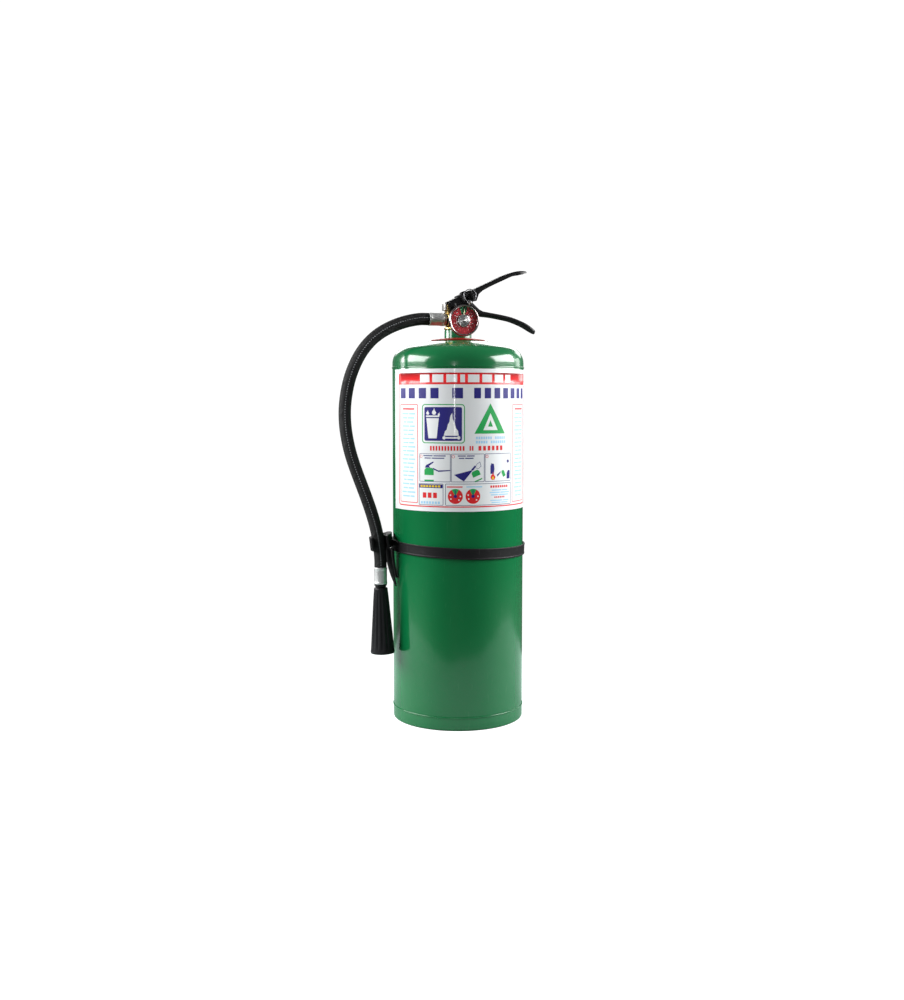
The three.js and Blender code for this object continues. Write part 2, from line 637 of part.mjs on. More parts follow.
// The nozzle hangs from the lower ferrule, leaning towards the tank. Heights count down from its top.
function makeNozzle() {
  const nozzle = new THREE.Group();
  nozzle.position.copy(NOZZLE_TOP);
  nozzle.rotation.y = -NOZZLE_LEAN;
  extinguisher.add(nozzle);
  piece('nozzle_adapter', cut(
    joined(
      rod(7.9, -3.4, 0, 28),
      rod(6.4, -12, -2, 28),
      rod(4.3, -1, 16, 24),
    ),
    rod(2.6, -20, 20, 20),
  ), blackPlastic, nozzle);
  piece('nozzle_orifice', ring(2.4, 4.6, -17.5, -12.4, 24), brass, nozzle);
  piece('nozzle', turned([
    [6.8, -5.2], [8.8, -5.2], [9.3, -8], [16.2, -91], [15.4, -93.8], [14, -93.8], [8, -30],
    [5, -18], [5, -12.3], [6.8, -12.3], [6.8, -5.2],
  ], 36), blackPlastic, nozzle);
}

// ---------------------------------------------------------------- strap and hose clip
function makeStrap() {
  const band = new THREE.Group();
  band.position.z = STRAP_Z;
  band.rotation.set(STRAP_DIP, STRAP_TILT, 0);
  extinguisher.add(band);
  const inner = TANK_RADIUS + 0.5;
  const outer = inner + STRAP_THICKNESS;
  piece('strap_band', turned([
    [inner, -STRAP_HALF], [outer - 0.4, -STRAP_HALF], [outer, -STRAP_HALF + 0.5],
    [outer, STRAP_HALF - 0.5], [outer - 0.4, STRAP_HALF], [inner, STRAP_HALF], [inner, -STRAP_HALF],
  ], ROUND), blackRubber, band);

  const strapFace = rod(outer + GAP, 180, 300, ROUND);
  // A loop round the strap where it overlaps itself, with a grip tab on its outer wall.
  piece('strap_keeper', cut(
    joined(block(-102, -83, 20.5, 32, 239, 254), block(-107.5, -101, 24, 28.5, 241.5, 251.5)),
    strapFace,
    block(-98.6, -90.6, 19, 34, 242, 251),
  ), blackPlastic);

  // The strap's two free ends come out under the clip and lean on the tank.
  const tail = (points, lowY, highY) => {
    const thickness = 1.5;
    const outline = new THREE.Shape();
    const last = points.length - 1;
    outline.moveTo(points[0][0], points[0][1]);
    for (const [x, z] of points.slice(1)) outline.lineTo(x, z);
    outline.lineTo(points[last][0] - thickness, points[last][1]);
    for (const [x, z] of points.slice(0, last).reverse()) outline.lineTo(x - thickness, z);
    outline.closePath();
    return slab(outline, lowY, highY);
  };
  piece('strap_tail_outer', tail([[-101, 236], [-99.6, 222], [-95.6, 203], [-90.6, 186]], -16, -1.5), blackRubber);
  piece('strap_tail_inner', tail([[-94.4, 236], [-93.6, 222], [-91, 204], [-89.6, 197]], -14, -4), blackRubber);
}

// A U-shaped jaw, open to the front. Its arm runs back beside the tank, to a base moulded to the strap.
function makeClip() {
  const hoseX = -114.6;
  const hoseY = -9.5;
  const inside = HOSE_RADIUS + 0.8;
  const lean = THREE.MathUtils.degToRad(7);
  const wall = 2.8;
  const lowZ = 236.4;
  const highZ = 254.4;
  const outerHalf = inside + wall;
  const jaw = new THREE.Shape();
  jaw.moveTo(hoseX - outerHalf, hoseY - 11.5);
  jaw.lineTo(hoseX - outerHalf, hoseY);
  jaw.absarc(hoseX, hoseY, outerHalf, Math.PI, 0, true);
  for (const [x, y] of [[-99, 16], [-92.5, 19], [-88.5, 12], [-92.5, 2], [-97.5, -8.5]]) jaw.lineTo(x, y);
  jaw.lineTo(hoseX + outerHalf, hoseY - 4);
  jaw.lineTo(hoseX + outerHalf, hoseY - 11.5);
  jaw.lineTo(hoseX + inside, hoseY - 11.5);
  jaw.lineTo(hoseX + inside, hoseY);
  jaw.absarc(hoseX, hoseY, inside, 0, Math.PI, false);
  jaw.lineTo(hoseX - inside, hoseY - 11.5);
  jaw.closePath();
  const moulding = new THREE.ExtrudeGeometry(jaw, {
    depth: highZ - lowZ, bevelEnabled: false, curveSegments: 14,
  }).translate(-hoseX, 0, (lowZ - highZ) / 2).rotateY(-lean).translate(hoseX, 0, (lowZ + highZ) / 2);
  const strapOuter = TANK_RADIUS + 0.5 + STRAP_THICKNESS;
  piece('hose_clip', cut(moulding, rod(strapOuter + GAP + 0.2, 180, 300, ROUND)), blackPlastic);
}

makeTank();
makeNeck();
makeLabel();
makeValve();
makeLever();
makeHandle();
makePullPin();
makeSeal();
makeGauge();
makeHose();
makeNozzle();
makeStrap();
makeClip();

export default extinguisher;
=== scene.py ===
# A stored-pressure water fire extinguisher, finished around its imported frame. Metres, +Z up: the tank
# stands on the floor at the origin, the levers point along +X, and the gauge faces -Y.
from math import atan2, cos, degrees, hypot, pi, radians, sin, sqrt

import bmesh
import bpy
from mathutils import Matrix, Vector


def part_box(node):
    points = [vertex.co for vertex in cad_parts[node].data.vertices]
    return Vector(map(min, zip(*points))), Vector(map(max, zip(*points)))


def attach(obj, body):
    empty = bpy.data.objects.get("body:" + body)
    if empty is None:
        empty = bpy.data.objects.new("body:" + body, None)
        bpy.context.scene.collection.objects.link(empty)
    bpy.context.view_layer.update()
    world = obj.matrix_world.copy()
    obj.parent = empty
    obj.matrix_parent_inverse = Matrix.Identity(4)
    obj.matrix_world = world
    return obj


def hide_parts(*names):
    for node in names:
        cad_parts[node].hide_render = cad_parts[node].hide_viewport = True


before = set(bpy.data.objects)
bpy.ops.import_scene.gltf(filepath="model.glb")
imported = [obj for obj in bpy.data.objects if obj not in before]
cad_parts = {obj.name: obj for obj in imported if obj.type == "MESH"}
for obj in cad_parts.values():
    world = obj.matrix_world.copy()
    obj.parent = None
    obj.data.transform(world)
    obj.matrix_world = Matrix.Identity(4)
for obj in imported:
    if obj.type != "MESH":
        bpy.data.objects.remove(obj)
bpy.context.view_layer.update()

bpy.ops.object.select_all(action="DESELECT")
X, Y, Z = Vector((1, 0, 0)), Vector((0, 1, 0)), Vector((0, 0, 1))
FRONT = -Y


def middle(node):
    low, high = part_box(node)
    return (low + high) / 2


# ------------------------------------------------------------ sizes, in metres, taken from the frame
TANK_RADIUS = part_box("tank_shell")[1].x
TANK_WALL = 0.0016
BASE_SEAM_Z = middle("base_weld_bead").z
TOP_SEAM_Z = middle("top_weld_bead").z
KNUCKLE_Z = TOP_SEAM_Z + 0.006
KNUCKLE_RADIUS = 0.022
CROWN_RADIUS = 0.240
CROWN_TOP_Z = 0.5173

NECK_LOW, NECK_HIGH = (corner.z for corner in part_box("neck_collar"))
NECK_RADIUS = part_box("neck_collar")[1].x
COLLAR_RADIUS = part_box("service_collar")[1].x
COLLAR_Z = 0.5176

LABEL_RADIUS = TANK_RADIUS + 0.0007
LABEL_LOW_Z, LABEL_HIGH_Z = (corner.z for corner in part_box("label_sheet"))
LABEL_CENTRE = radians(-99)
LABEL_HALF = radians(80)
LABEL_STRIPS = 80

PIVOT = Vector((middle("lever_pivot_pin").x, 0, middle("lever_pivot_pin").z))
RIVET = Vector((middle("handle_rivet").x, 0, middle("handle_rivet").z))
PIN_AXIS = Vector((0.012, 0, 0.5665))
LEVER_SLOPE = radians(25.5)
LEVER_HALF = 0.0115
HANDLE_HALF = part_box("carry_handle")[1].y
SHEET = 0.0018

GAUGE_CENTRE = middle("gauge_bezel")
GAUGE_BACK_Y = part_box("gauge_case")[1].y
OUTLET_Z = middle("upper_ferrule").z

HOSE_DIAMETER = 0.0165
STITCHES_PER_METRE = 300.0
HOSE_ROUTE = [Vector(point) for point in (
    (-0.0418, 0, 0.5437), (-0.054, 0, 0.5434), (-0.068, 0, 0.541), (-0.082, 0, 0.5369),
    (-0.096, -0.0001, 0.5311), (-0.110, -0.0003, 0.523), (-0.123, -0.0006, 0.5121),
    (-0.1342, -0.001, 0.4984), (-0.1432, -0.0016, 0.4826), (-0.1504, -0.0023, 0.4646),
    (-0.1552, -0.0031, 0.4455), (-0.1579, -0.004, 0.4255), (-0.158, -0.005, 0.4048),
    (-0.1556, -0.006, 0.3846), (-0.1512, -0.0069, 0.3645), (-0.145, -0.0077, 0.3448),
    (-0.1378, -0.0085, 0.325), (-0.1306, -0.0091, 0.3054), (-0.124, -0.0094, 0.2858),
    (-0.1184, -0.0095, 0.2658), (-0.1144, -0.0095, 0.2454), (-0.1123, -0.0095, 0.225),
    (-0.112, -0.0095, 0.2126),
)]
NOZZLE_TOP = Vector((-0.112, -0.0095, 0.1896))
NOZZLE_LEAN = radians(-1.5)

STRAP_Z = middle("strap_band").z
STRAP_HALF = 0.0072
STRAP_THICKNESS = 0.0022
STRAP_INNER = TANK_RADIUS + 0.0005
STRAP_TILT = radians(1.9)
STRAP_DIP = radians(1.1)

# ------------------------------------------------------------ camera
CAMERA_PLACE = Vector((-0.495, -1.5236, 0.4337))
CAMERA_HEADING = radians(17.71)
CAMERA_DROP = radians(4.81)


def add_camera():
    turn = (pi / 2 - CAMERA_DROP, 0, -CAMERA_HEADING)
    bpy.ops.object.camera_add(location=CAMERA_PLACE, rotation=turn)
    camera = bpy.context.object
    camera.data.sensor_fit = "HORIZONTAL"
    camera.data.sensor_width = 36
    camera.data.lens = 46.7
    camera.data.clip_start = 0.05
    bpy.context.scene.camera = camera


# ------------------------------------------------------------ drawing and turning
def smooth_line(points, per_span=6):
    """Points along a smooth curve through the given ones."""
    ends = [points[0] * 2 - points[1], *points, points[-1] * 2 - points[-2]]
    line = []
    for a, b, c, d in zip(ends, ends[1:], ends[2:], ends[3:]):
        for step in range(per_span):
            t = step / per_span
            line.append((b * 2 + (c - a) * t + (a * 2 - b * 5 + c * 4 - d) * t * t
                         + (b * 3 - a - c * 3 + d) * t ** 3) / 2)
    return [*line, points[-1]]


def eased(profile, steps=4):
    """The profile with round corners. A point's third number is its corner's size."""
    line = []
    last = len(profile) - 1
    for index, point in enumerate(profile):
        corner = Vector(point[:2])
        if len(point) == 2 or index in (0, last):
            line.append(corner)
            continue
        before = Vector(profile[index - 1][:2]) - corner
        after = Vector(profile[index + 1][:2]) - corner
        start = corner + before.normalized() * min(point[2], before.length * 0.48)
        end = corner + after.normalized() * min(point[2], after.length * 0.48)
        for step in range(steps + 1):
            t = step / steps
            line.append(start * (1 - t) ** 2 + corner * 2 * t * (1 - t) + end * t * t)
    return line


def drawn(name, points):
    """A line through the points, drawn by extruding one vertex. The piece is left in edit mode."""
    bpy.ops.object.select_all(action="DESELECT")
    bpy.ops.mesh.primitive_plane_add(size=0.0005, location=points[0], calc_uvs=False)
    piece = bpy.context.object
    piece.name = name
    piece.data.name = name
    bpy.ops.object.transform_apply(location=True, rotation=False, scale=False)
    bpy.ops.object.mode_set(mode="EDIT")
    bpy.ops.mesh.select_mode(type="VERT")
    bpy.ops.mesh.select_all(action="SELECT")
    bpy.ops.mesh.merge(type="CENTER")
    for start, end in zip(points, points[1:]):
        bpy.ops.mesh.extrude_region_move(TRANSFORM_OT_translate={"value": end - start})
    bpy.ops.mesh.select_all(action="SELECT")
    return piece


def closed_up():
    """Ends edit mode with doubles merged and faces turned outwards."""
    bpy.ops.mesh.select_all(action="SELECT")
    bpy.ops.mesh.remove_doubles(threshold=1e-6)
    bpy.ops.mesh.normals_make_consistent(inside=False)
    bpy.ops.object.mode_set(mode="OBJECT")


def turned(name, profile, centre=(0, 0, 0), axis=Z, steps=96):
    """A profile of (radius, distance along the axis), drawn and spun a full turn."""
    centre = Vector(centre)
    out = X if abs(axis.x) < 0.5 else Z
    points = [centre + out * point[0] + axis * point[1] for point in eased(profile)]
    piece = drawn(name, points)
    bpy.ops.mesh.spin(steps=steps, angle=2 * pi, center=centre, axis=axis)
    closed_up()
    return piece


def drill(name, centre, radius, reach, axis=Y, steps=36):
    """A plain rod to cut a bore with, reaching as far to each side of its centre."""
    return turned(name, [(0, -reach), (radius, -reach), (radius, reach), (0, reach)], centre, axis, steps)


def plate(name, outline, depth, bevel=0.0, segments=2):
    """A closed outline, filled and pulled to the depth, with its edges rounded."""
    outline = [Vector(point) for point in outline]
    piece = drawn(name, [*outline, outline[0]])
    bpy.ops.mesh.remove_doubles(threshold=1e-6)
    bpy.ops.mesh.select_all(action="SELECT")
    bpy.ops.mesh.edge_face_add()
    bpy.ops.mesh.extrude_region_move(TRANSFORM_OT_translate={"value": Vector(depth)})
    closed_up()
    if bevel:
        rounded(piece, bevel, segments)
    return piece


def in_xz(profile, y):
    return [Vector((point[0], y, point[1])) for point in profile]


def lofted(name, sections, loop=True, caps=True):
    """The first section is drawn, and each next one is extruded from it and put in place."""
    first = [Vector(point) for point in sections[0]]
    piece = drawn(name, [*first, first[0]] if loop else first)
    bpy.ops.mesh.remove_doubles(threshold=1e-7)
    bpy.ops.mesh.select_all(action="SELECT")
    before = first
    for section in sections[1:]:
        bpy.ops.mesh.extrude_region_move()
        sketch = bmesh.from_edit_mesh(piece.data)
        for vertex in [v for v in sketch.verts if v.select]:
            nearest = min(range(len(before)), key=lambda i: (before[i] - vertex.co).length_squared)
            vertex.co = section[nearest]
        bmesh.update_edit_mesh(piece.data)
        before = section
    if caps and loop:
        bpy.ops.mesh.select_all(action="DESELECT")
        bpy.ops.mesh.select_non_manifold(extend=False)
        bpy.ops.mesh.fill_holes(sides=0)
    closed_up()
    return piece


def activate(piece):
    bpy.ops.object.select_all(action="DESELECT")
    piece.select_set(True)
    bpy.context.view_layer.objects.active = piece


def applied(piece, kind, **settings):
    """Adds a modifier with these settings and applies it."""
    activate(piece)
    modifier = piece.modifiers.new(kind.lower(), kind)
    for setting, value in settings.items():
        setattr(modifier, setting, value)
    bpy.ops.object.modifier_apply(modifier=modifier.name)
    return piece


def rounded(piece, width, segments=2, angle=35, clamp=True):
    return applied(piece, "BEVEL", width=width, segments=segments, limit_method="ANGLE",
                   angle_limit=radians(angle), use_clamp_overlap=clamp)


def cut(piece, *tools):
    for tool in tools:
        applied(piece, "BOOLEAN", operation="DIFFERENCE", object=tool, solver="EXACT")
        bpy.data.objects.remove(tool)
    return piece


def welded(piece, *others):
    for other in others:
        applied(piece, "BOOLEAN", operation="UNION", object=other, solver="EXACT")
        bpy.data.objects.remove(other)
    return piece


def joined(name, pieces):
    bpy.ops.object.select_all(action="DESELECT")
    for piece in pieces:
        piece.select_set(True)
    bpy.context.view_layer.objects.active = pieces[0]
    bpy.ops.object.join()
    pieces[0].name = name
    pieces[0].data.name = name
    return pieces[0]


def swung(piece, angle, centre, axis="Y"):
    """Turns a piece about a point and leaves its object at the origin, unturned."""
    activate(piece)
    move = Matrix.Translation(centre) @ Matrix.Rotation(angle, 4, axis) @ Matrix.Translation(-Vector(centre))
    piece.matrix_world = move
    bpy.ops.object.transform_apply(location=True, rotation=True, scale=True)
    return piece


def finished(piece, body, slot, material, *nodes, smooth=35):
    """Gives a piece its surface and the body it moves with, and hides the nodes that it stands for. The slot
    is not used.
    """
    activate(piece)
    piece.data.materials.clear()
    piece.data.materials.append(material)
    bpy.ops.object.shade_smooth_by_angle(angle=radians(smooth))
    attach(piece, body)
    if nodes:
        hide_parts(*nodes)
    return piece


# ------------------------------------------------------------ effects that several finishes share
def new_group(name, inputs, outputs):
    group = bpy.data.node_groups.new(name, "ShaderNodeTree")
    for socket, kind, value in inputs:
        made = group.interface.new_socket(name=socket, in_out="INPUT", socket_type=kind)
        made.default_value = value
    for socket, kind in outputs:
        group.interface.new_socket(name=socket, in_out="OUTPUT", socket_type=kind)
    return group, group.nodes.new("NodeGroupInput"), group.nodes.new("NodeGroupOutput")


def noise(tree, scale, detail=3.0, rough=0.5, vector=None):
    node = tree.nodes.new("ShaderNodeTexNoise")
    node.inputs["Scale"].default_value = scale
    node.inputs["Detail"].default_value = detail
    node.inputs["Roughness"].default_value = rough
    if vector is not None:
        tree.links.new(vector, node.inputs["Vector"])
    return node


def math_node(tree, operation, first, second=0.0):
    node = tree.nodes.new("ShaderNodeMath")
    node.operation = operation
    for socket, value in zip(node.inputs, (first, second)):
        if isinstance(value, (int, float)):
            socket.default_value = value
        else:
            tree.links.new(value, socket)
    return node.outputs[0]


def ranged(tree, value, low, high, to_low=0.0, to_high=1.0):
    node = tree.nodes.new("ShaderNodeMapRange")
    tree.links.new(value, node.inputs["Value"])
    for name, number in (("From Min", low), ("From Max", high), ("To Min", to_low), ("To Max", to_high)):
        node.inputs[name].default_value = number
    return node.outputs["Result"]


def grain_group():
    """A fine moulded or sprayed grain over a slow unevenness: a height, and a roughness that varies."""
    group, start, end = new_group(
        "grain",
        [("Fine", "NodeSocketFloat", 900.0), ("Slow", "NodeSocketFloat", 14.0),
         ("Slow Share", "NodeSocketFloat", 0.3), ("Rough Low", "NodeSocketFloat", 0.3),
         ("Rough High", "NodeSocketFloat", 0.4)],
        [("Height", "NodeSocketFloat"), ("Roughness", "NodeSocketFloat"), ("Mottle", "NodeSocketFloat")],
    )
    place = group.nodes.new("ShaderNodeTexCoord").outputs["Object"]
    fine = noise(group, 1.0, 2.0, 0.5, place)
    slow = noise(group, 1.0, 2.0, 0.5, place)
    group.links.new(start.outputs["Fine"], fine.inputs["Scale"])
    group.links.new(start.outputs["Slow"], slow.inputs["Scale"])
    share = math_node(group, "MULTIPLY", slow.outputs["Fac"], start.outputs["Slow Share"])
    group.links.new(math_node(group, "ADD", fine.outputs["Fac"], share), end.inputs["Height"])
    smudge = noise(group, 38.0, 4.0, 0.6, place)
    spread = math_node(group, "SUBTRACT", start.outputs["Rough High"], start.outputs["Rough Low"])
    lift = math_node(group, "MULTIPLY", smudge.outputs["Fac"], spread)
    group.links.new(math_node(group, "ADD", start.outputs["Rough Low"], lift), end.inputs["Roughness"])
    group.links.new(slow.outputs["Fac"], end.inputs["Mottle"])
    return group


def wear_group():
    """Fine scratches and rubbed spots, as a mask from 0 to 1."""
    group, start, end = new_group(
        "wear",
        [("Amount", "NodeSocketFloat", 0.4), ("Scale", "NodeSocketFloat", 60.0)],
        [("Mask", "NodeSocketFloat")],
    )
    place = group.nodes.new("ShaderNodeTexCoord").outputs["Object"]
    stretch = group.nodes.new("ShaderNodeMapping")
    stretch.inputs["Scale"].default_value = (1.0, 1.0, 0.16)
    stretch.inputs["Rotation"].default_value = (0.5, 0.35, 0.2)
    group.links.new(place, stretch.inputs["Vector"])
    lines = noise(group, 1.0, 1.0, 0.4, stretch.outputs["Vector"])
    group.links.new(math_node(group, "MULTIPLY", start.outputs["Scale"], 8.0), lines.inputs["Scale"])
    scratch = ranged(group, lines.outputs["Fac"], 0.70, 0.74)
    patches = noise(group, 1.0, 3.0, 0.6, place)
    group.links.new(start.outputs["Scale"], patches.inputs["Scale"])
    rubbed = ranged(group, patches.outputs["Fac"], 0.60, 0.78)
    both = math_node(group, "MAXIMUM", scratch, math_node(group, "MULTIPLY", rubbed, 0.5))
    group.links.new(math_node(group, "MULTIPLY", both, start.outputs["Amount"]), end.inputs["Mask"])
    return group


def dust_group():
    """A thin dust that settles on faces that look up."""
    group, start, end = new_group(
        "dust", [("Amount", "NodeSocketFloat", 0.1)], [("Mask", "NodeSocketFloat")])
    geometry = group.nodes.new("ShaderNodeNewGeometry")
    split = group.nodes.new("ShaderNodeSeparateXYZ")
    group.links.new(geometry.outputs["Normal"], split.inputs["Vector"])
    upward = ranged(group, split.outputs["Z"], 0.25, 1.0)
    place = group.nodes.new("ShaderNodeTexCoord").outputs["Object"]
    cloud = ranged(group, noise(group, 90.0, 5.0, 0.65, place).outputs["Fac"], 0.35, 0.7)
    settled = math_node(group, "MULTIPLY", upward, cloud)
    group.links.new(math_node(group, "MULTIPLY", settled, start.outputs["Amount"]), end.inputs["Mask"])
    return group


GRAIN, WEAR, DUST = grain_group(), wear_group(), dust_group()


# ------------------------------------------------------------ finishes
class Finish:
    """A Principled material, with the shared effects put in as the finish asks for them."""

    def __init__(self, name, colour, metallic=0.0):
        self.material = bpy.data.materials.new(name)
        self.material.use_nodes = True
        self.tree = self.material.node_tree
        self.shader = self.tree.nodes["Principled BSDF"]
        self.shader.inputs["Base Color"].default_value = (*colour, 1)
        self.shader.inputs["Metallic"].default_value = metallic
        self.material.diffuse_color = (*colour, 1)
        self.colour = None
        self.first_colour = (*colour, 1)

    def place(self, output="Object"):
        return self.tree.nodes.new("ShaderNodeTexCoord").outputs[output]

    def effect(self, group, **values):
        node = self.tree.nodes.new("ShaderNodeGroup")
        node.node_tree = group
        for name, value in values.items():
            node.inputs[name.replace("_", " ")].default_value = value
        return node

    def set(self, **values):
        for name, value in values.items():
            self.shader.inputs[name.replace("_", " ")].default_value = value
        return self

    def feed(self, socket, output):
        self.tree.links.new(output, self.shader.inputs[socket])

    def tint(self, mask, colour):
        """Mixes another colour in where the mask says."""
        mix = self.tree.nodes.new("ShaderNodeMix")
        mix.data_type = "RGBA"
        self.tree.links.new(mask, mix.inputs["Factor"])
        if self.colour is None:
            mix.inputs["A"].default_value = self.first_colour
        else:
            self.tree.links.new(self.colour, mix.inputs["A"])
        mix.inputs["B"].default_value = (*colour, 1)
        self.colour = mix.outputs["Result"]
        self.feed("Base Color", self.colour)
        return self

    def bump(self, height, distance, strength=1.0):
        node = self.tree.nodes.new("ShaderNodeBump")
        node.inputs["Distance"].default_value = distance
        node.inputs["Strength"].default_value = strength
        self.tree.links.new(height, node.inputs["Height"])
        self.feed("Normal", node.outputs["Normal"])
        return self

    def grained(self, fine, rough, depth, slow=14.0, share=0.3, mottle=None):
        grain = self.effect(GRAIN, Fine=fine, Slow=slow, Slow_Share=share, Rough_Low=rough[0],
                            Rough_High=rough[1])
        self.feed("Roughness", grain.outputs["Roughness"])
        self.bump(grain.outputs["Height"], depth)
        if mottle:
            self.tint(ranged(self.tree, grain.outputs["Mottle"], 0.35, 0.65), mottle)
        return self

    def worn(self, amount, colour, scale=60.0):
        return self.tint(self.effect(WEAR, Amount=amount, Scale=scale).outputs["Mask"], colour)

    def dusty(self, amount, colour=(0.42, 0.4, 0.37)):
        return self.tint(self.effect(DUST, Amount=amount).outputs["Mask"], colour)


def painted_tank():
    finish = Finish("green enamel", (0.0022, 0.142, 0.040))
    finish.grained(320.0, (0.16, 0.24), 0.00004, slow=9.0, share=7.0, mottle=(0.0030, 0.150, 0.045))
    finish.worn(0.08, (0.05, 0.22, 0.09), 42.0).dusty(0.02)
    return finish.set(Coat_Weight=0.42, Coat_Roughness=0.05, Coat_IOR=1.5).material


def printed(name, colour):
    finish = Finish(name, colour)
    finish.grained(260.0, (0.34, 0.42), 0.000012, slow=20.0, share=1.5)
    return finish.set(Coat_Weight=0.35, Coat_Roughness=0.07, Specular_IOR_Level=0.35).material


def black_coat(name, colour, fine, rough, depth, wear, worn_colour):
    finish = Finish(name, colour).grained(fine, rough, depth)
    return finish.worn(wear, worn_colour).dusty(0.02).set(Specular_IOR_Level=0.24)


def turned_metal(name, colour, rough, axis, depth=0.000006, metallic=1.0, stain=None):
    """Metal with the fine rings that a lathe leaves. The rings follow one of the object's axes."""
    finish = Finish(name, colour, metallic)
    split = finish.tree.nodes.new("ShaderNodeSeparateXYZ")
    finish.tree.links.new(finish.place(), split.inputs["Vector"])
    join = finish.tree.nodes.new("ShaderNodeCombineXYZ")
    finish.tree.links.new(math_node(finish.tree, "MULTIPLY", split.outputs[axis], 2600.0), join.inputs["X"])
    rings = noise(finish.tree, 1.0, 2.0, 0.5, join.outputs["Vector"])
    cloud = noise(finish.tree, 70.0, 4.0, 0.6, finish.place())
    finish.feed("Roughness", ranged(finish.tree, cloud.outputs["Fac"], 0.3, 0.7, *rough))
    finish.bump(rings.outputs["Fac"], depth)
    if stain:
        finish.tint(ranged(finish.tree, cloud.outputs["Fac"], 0.5, 0.75, 0.0, 0.6), stain)
    return finish


def cast_metal(name, colour, rough, stain, depth=0.00003):
    finish = Finish(name, colour, 1.0).grained(1500.0, rough, depth)
    return finish.worn(0.5, stain, 110.0)


def glass_cover():
    finish = Finish("gauge lens", (1, 1, 1))
    smear = noise(finish.tree, 60.0, 3.0, 0.6, finish.place())
    finish.feed("Roughness", ranged(finish.tree, smear.outputs["Fac"], 0.4, 0.7, 0.01, 0.05))
    return finish.set(Transmission_Weight=1.0, IOR=1.22).material


def hose_rubber():
    """Rubber wrapped in cloth while it cured, with a row of light stitches along it."""
    finish = Finish("wrapped hose rubber", (0.0030, 0.0030, 0.0036))
    tree = finish.tree
    split = tree.nodes.new("ShaderNodeSeparateXYZ")
    tree.links.new(finish.place("UV"), split.inputs["Vector"])
    around, along = split.outputs["X"], split.outputs["Y"]
    threads = []
    for hand in (-1.0, 1.0):
        lean = math_node(tree, "MULTIPLY", around, 26.0 * hand)
        turns = math_node(tree, "ADD", math_node(tree, "MULTIPLY", along, 440.0), lean)
        threads.append(math_node(tree, "SINE", math_node(tree, "MULTIPLY", turns, 2 * pi)))
    weave = math_node(tree, "MULTIPLY", threads[0], threads[1])
    lap = math_node(tree, "SINE", math_node(
        tree, "MULTIPLY", math_node(tree, "ADD", math_node(tree, "MULTIPLY", along, 24.0), around), 2 * pi))
    lap = ranged(tree, lap, 0.9, 1.0, 0.0, 2.5)
    finish.bump(math_node(tree, "ADD", weave, lap), 0.00026)
    beside = math_node(tree, "ABSOLUTE", math_node(tree, "SUBTRACT", around, 0.72))
    on_line = math_node(tree, "LESS_THAN", beside, 0.010)
    stitch = math_node(tree, "FRACT", math_node(tree, "MULTIPLY", along, STITCHES_PER_METRE))
    dash = math_node(tree, "LESS_THAN", stitch, 0.5)
    finish.tint(ranged(tree, noise(tree, 45.0, 4.0, 0.6, finish.place()).outputs["Fac"], 0.4, 0.7),
                (0.0056, 0.0056, 0.0062))
    finish.tint(math_node(tree, "MULTIPLY", on_line, dash), (0.30, 0.31, 0.33))
    cloud = noise(tree, 60.0, 4.0, 0.6, finish.place())
    finish.feed("Roughness", ranged(tree, cloud.outputs["Fac"], 0.3, 0.7, 0.46, 0.60))
    return finish.set(Specular_IOR_Level=0.22).material


def spun_disc():
    """A disc with a circular brushed finish, which gives it a bow-tie shine."""
    finish = turned_metal("spun disc", (0.80, 0.79, 0.78), (0.20, 0.28), "Y")
    tangent = finish.tree.nodes.new("ShaderNodeTangent")
    tangent.direction_type = "RADIAL"
    tangent.axis = "Y"
    finish.feed("Tangent", tangent.outputs["Tangent"])
    return finish.set(Anisotropic=0.9, Anisotropic_Rotation=0.25).material


GREEN = painted_tank()
COLLAR_RED = black_coat("red collar plastic", (0.33, 0.015, 0.012), 700.0, (0.3, 0.4), 0.00002,
                        0.15, (0.6, 0.2, 0.15)).material
PAPER = printed("label vinyl", (0.83, 0.845, 0.86))
INK = {
    "red": printed("red ink", (0.72, 0.018, 0.022)),
    "navy": printed("navy ink", (0.018, 0.014, 0.19)),
    "green": printed("green ink", (0.02, 0.38, 0.09)),
    "blue": printed("light blue ink", (0.36, 0.64, 0.86)),
    "grey": printed("grey ink", (0.10, 0.10, 0.21)),
    "white": printed("white ink", (0.86, 0.87, 0.88)),
    "yellow": printed("yellow ink", (0.85, 0.62, 0.02)),
}
BRASS = cast_metal("forged brass", (0.72, 0.50, 0.17), (0.18, 0.34), (0.36, 0.20, 0.06)).material
BRASS_TURNED = turned_metal("turned brass", (0.76, 0.56, 0.22), (0.16, 0.26), "Z").material
NICKEL = turned_metal("nickel plate", (0.74, 0.72, 0.69), (0.28, 0.42), "X", stain=(0.5, 0.46, 0.38)).material
# Painted light: both ferrules are one aluminium, here in two copies tuned to how each is lit; the upper one
# is made part-diffuse (metallic 0.75) to read lighter.
FERRULE_UPPER = turned_metal("ferrule aluminium, upper", (0.82, 0.82, 0.81), (0.28, 0.40), "X",
                             metallic=0.75).material
FERRULE_LOWER = turned_metal("ferrule aluminium, lower", (0.90, 0.90, 0.90), (0.38, 0.52), "Z").material
STEEL = turned_metal("zinc-plated steel", (0.62, 0.62, 0.63), (0.2, 0.32), "Y").material
DARK_STEEL = turned_metal("dark spring wire", (0.20, 0.20, 0.21), (0.3, 0.42), "Y").material
CHROME = turned_metal("gauge chrome", (0.42, 0.36, 0.36), (0.16, 0.26), "Y", depth=0.000003).material
GLASS = glass_cover()
DIAL_RED = printed("dial red", (0.27, 0.010, 0.016))
DIAL_GREEN = printed("dial green", (0.012, 0.11, 0.04))
DIAL_WHITE = printed("dial white", (0.80, 0.78, 0.78))
NEEDLE = printed("needle enamel", (0.74, 0.68, 0.40))
SPUN_DISC = spun_disc()
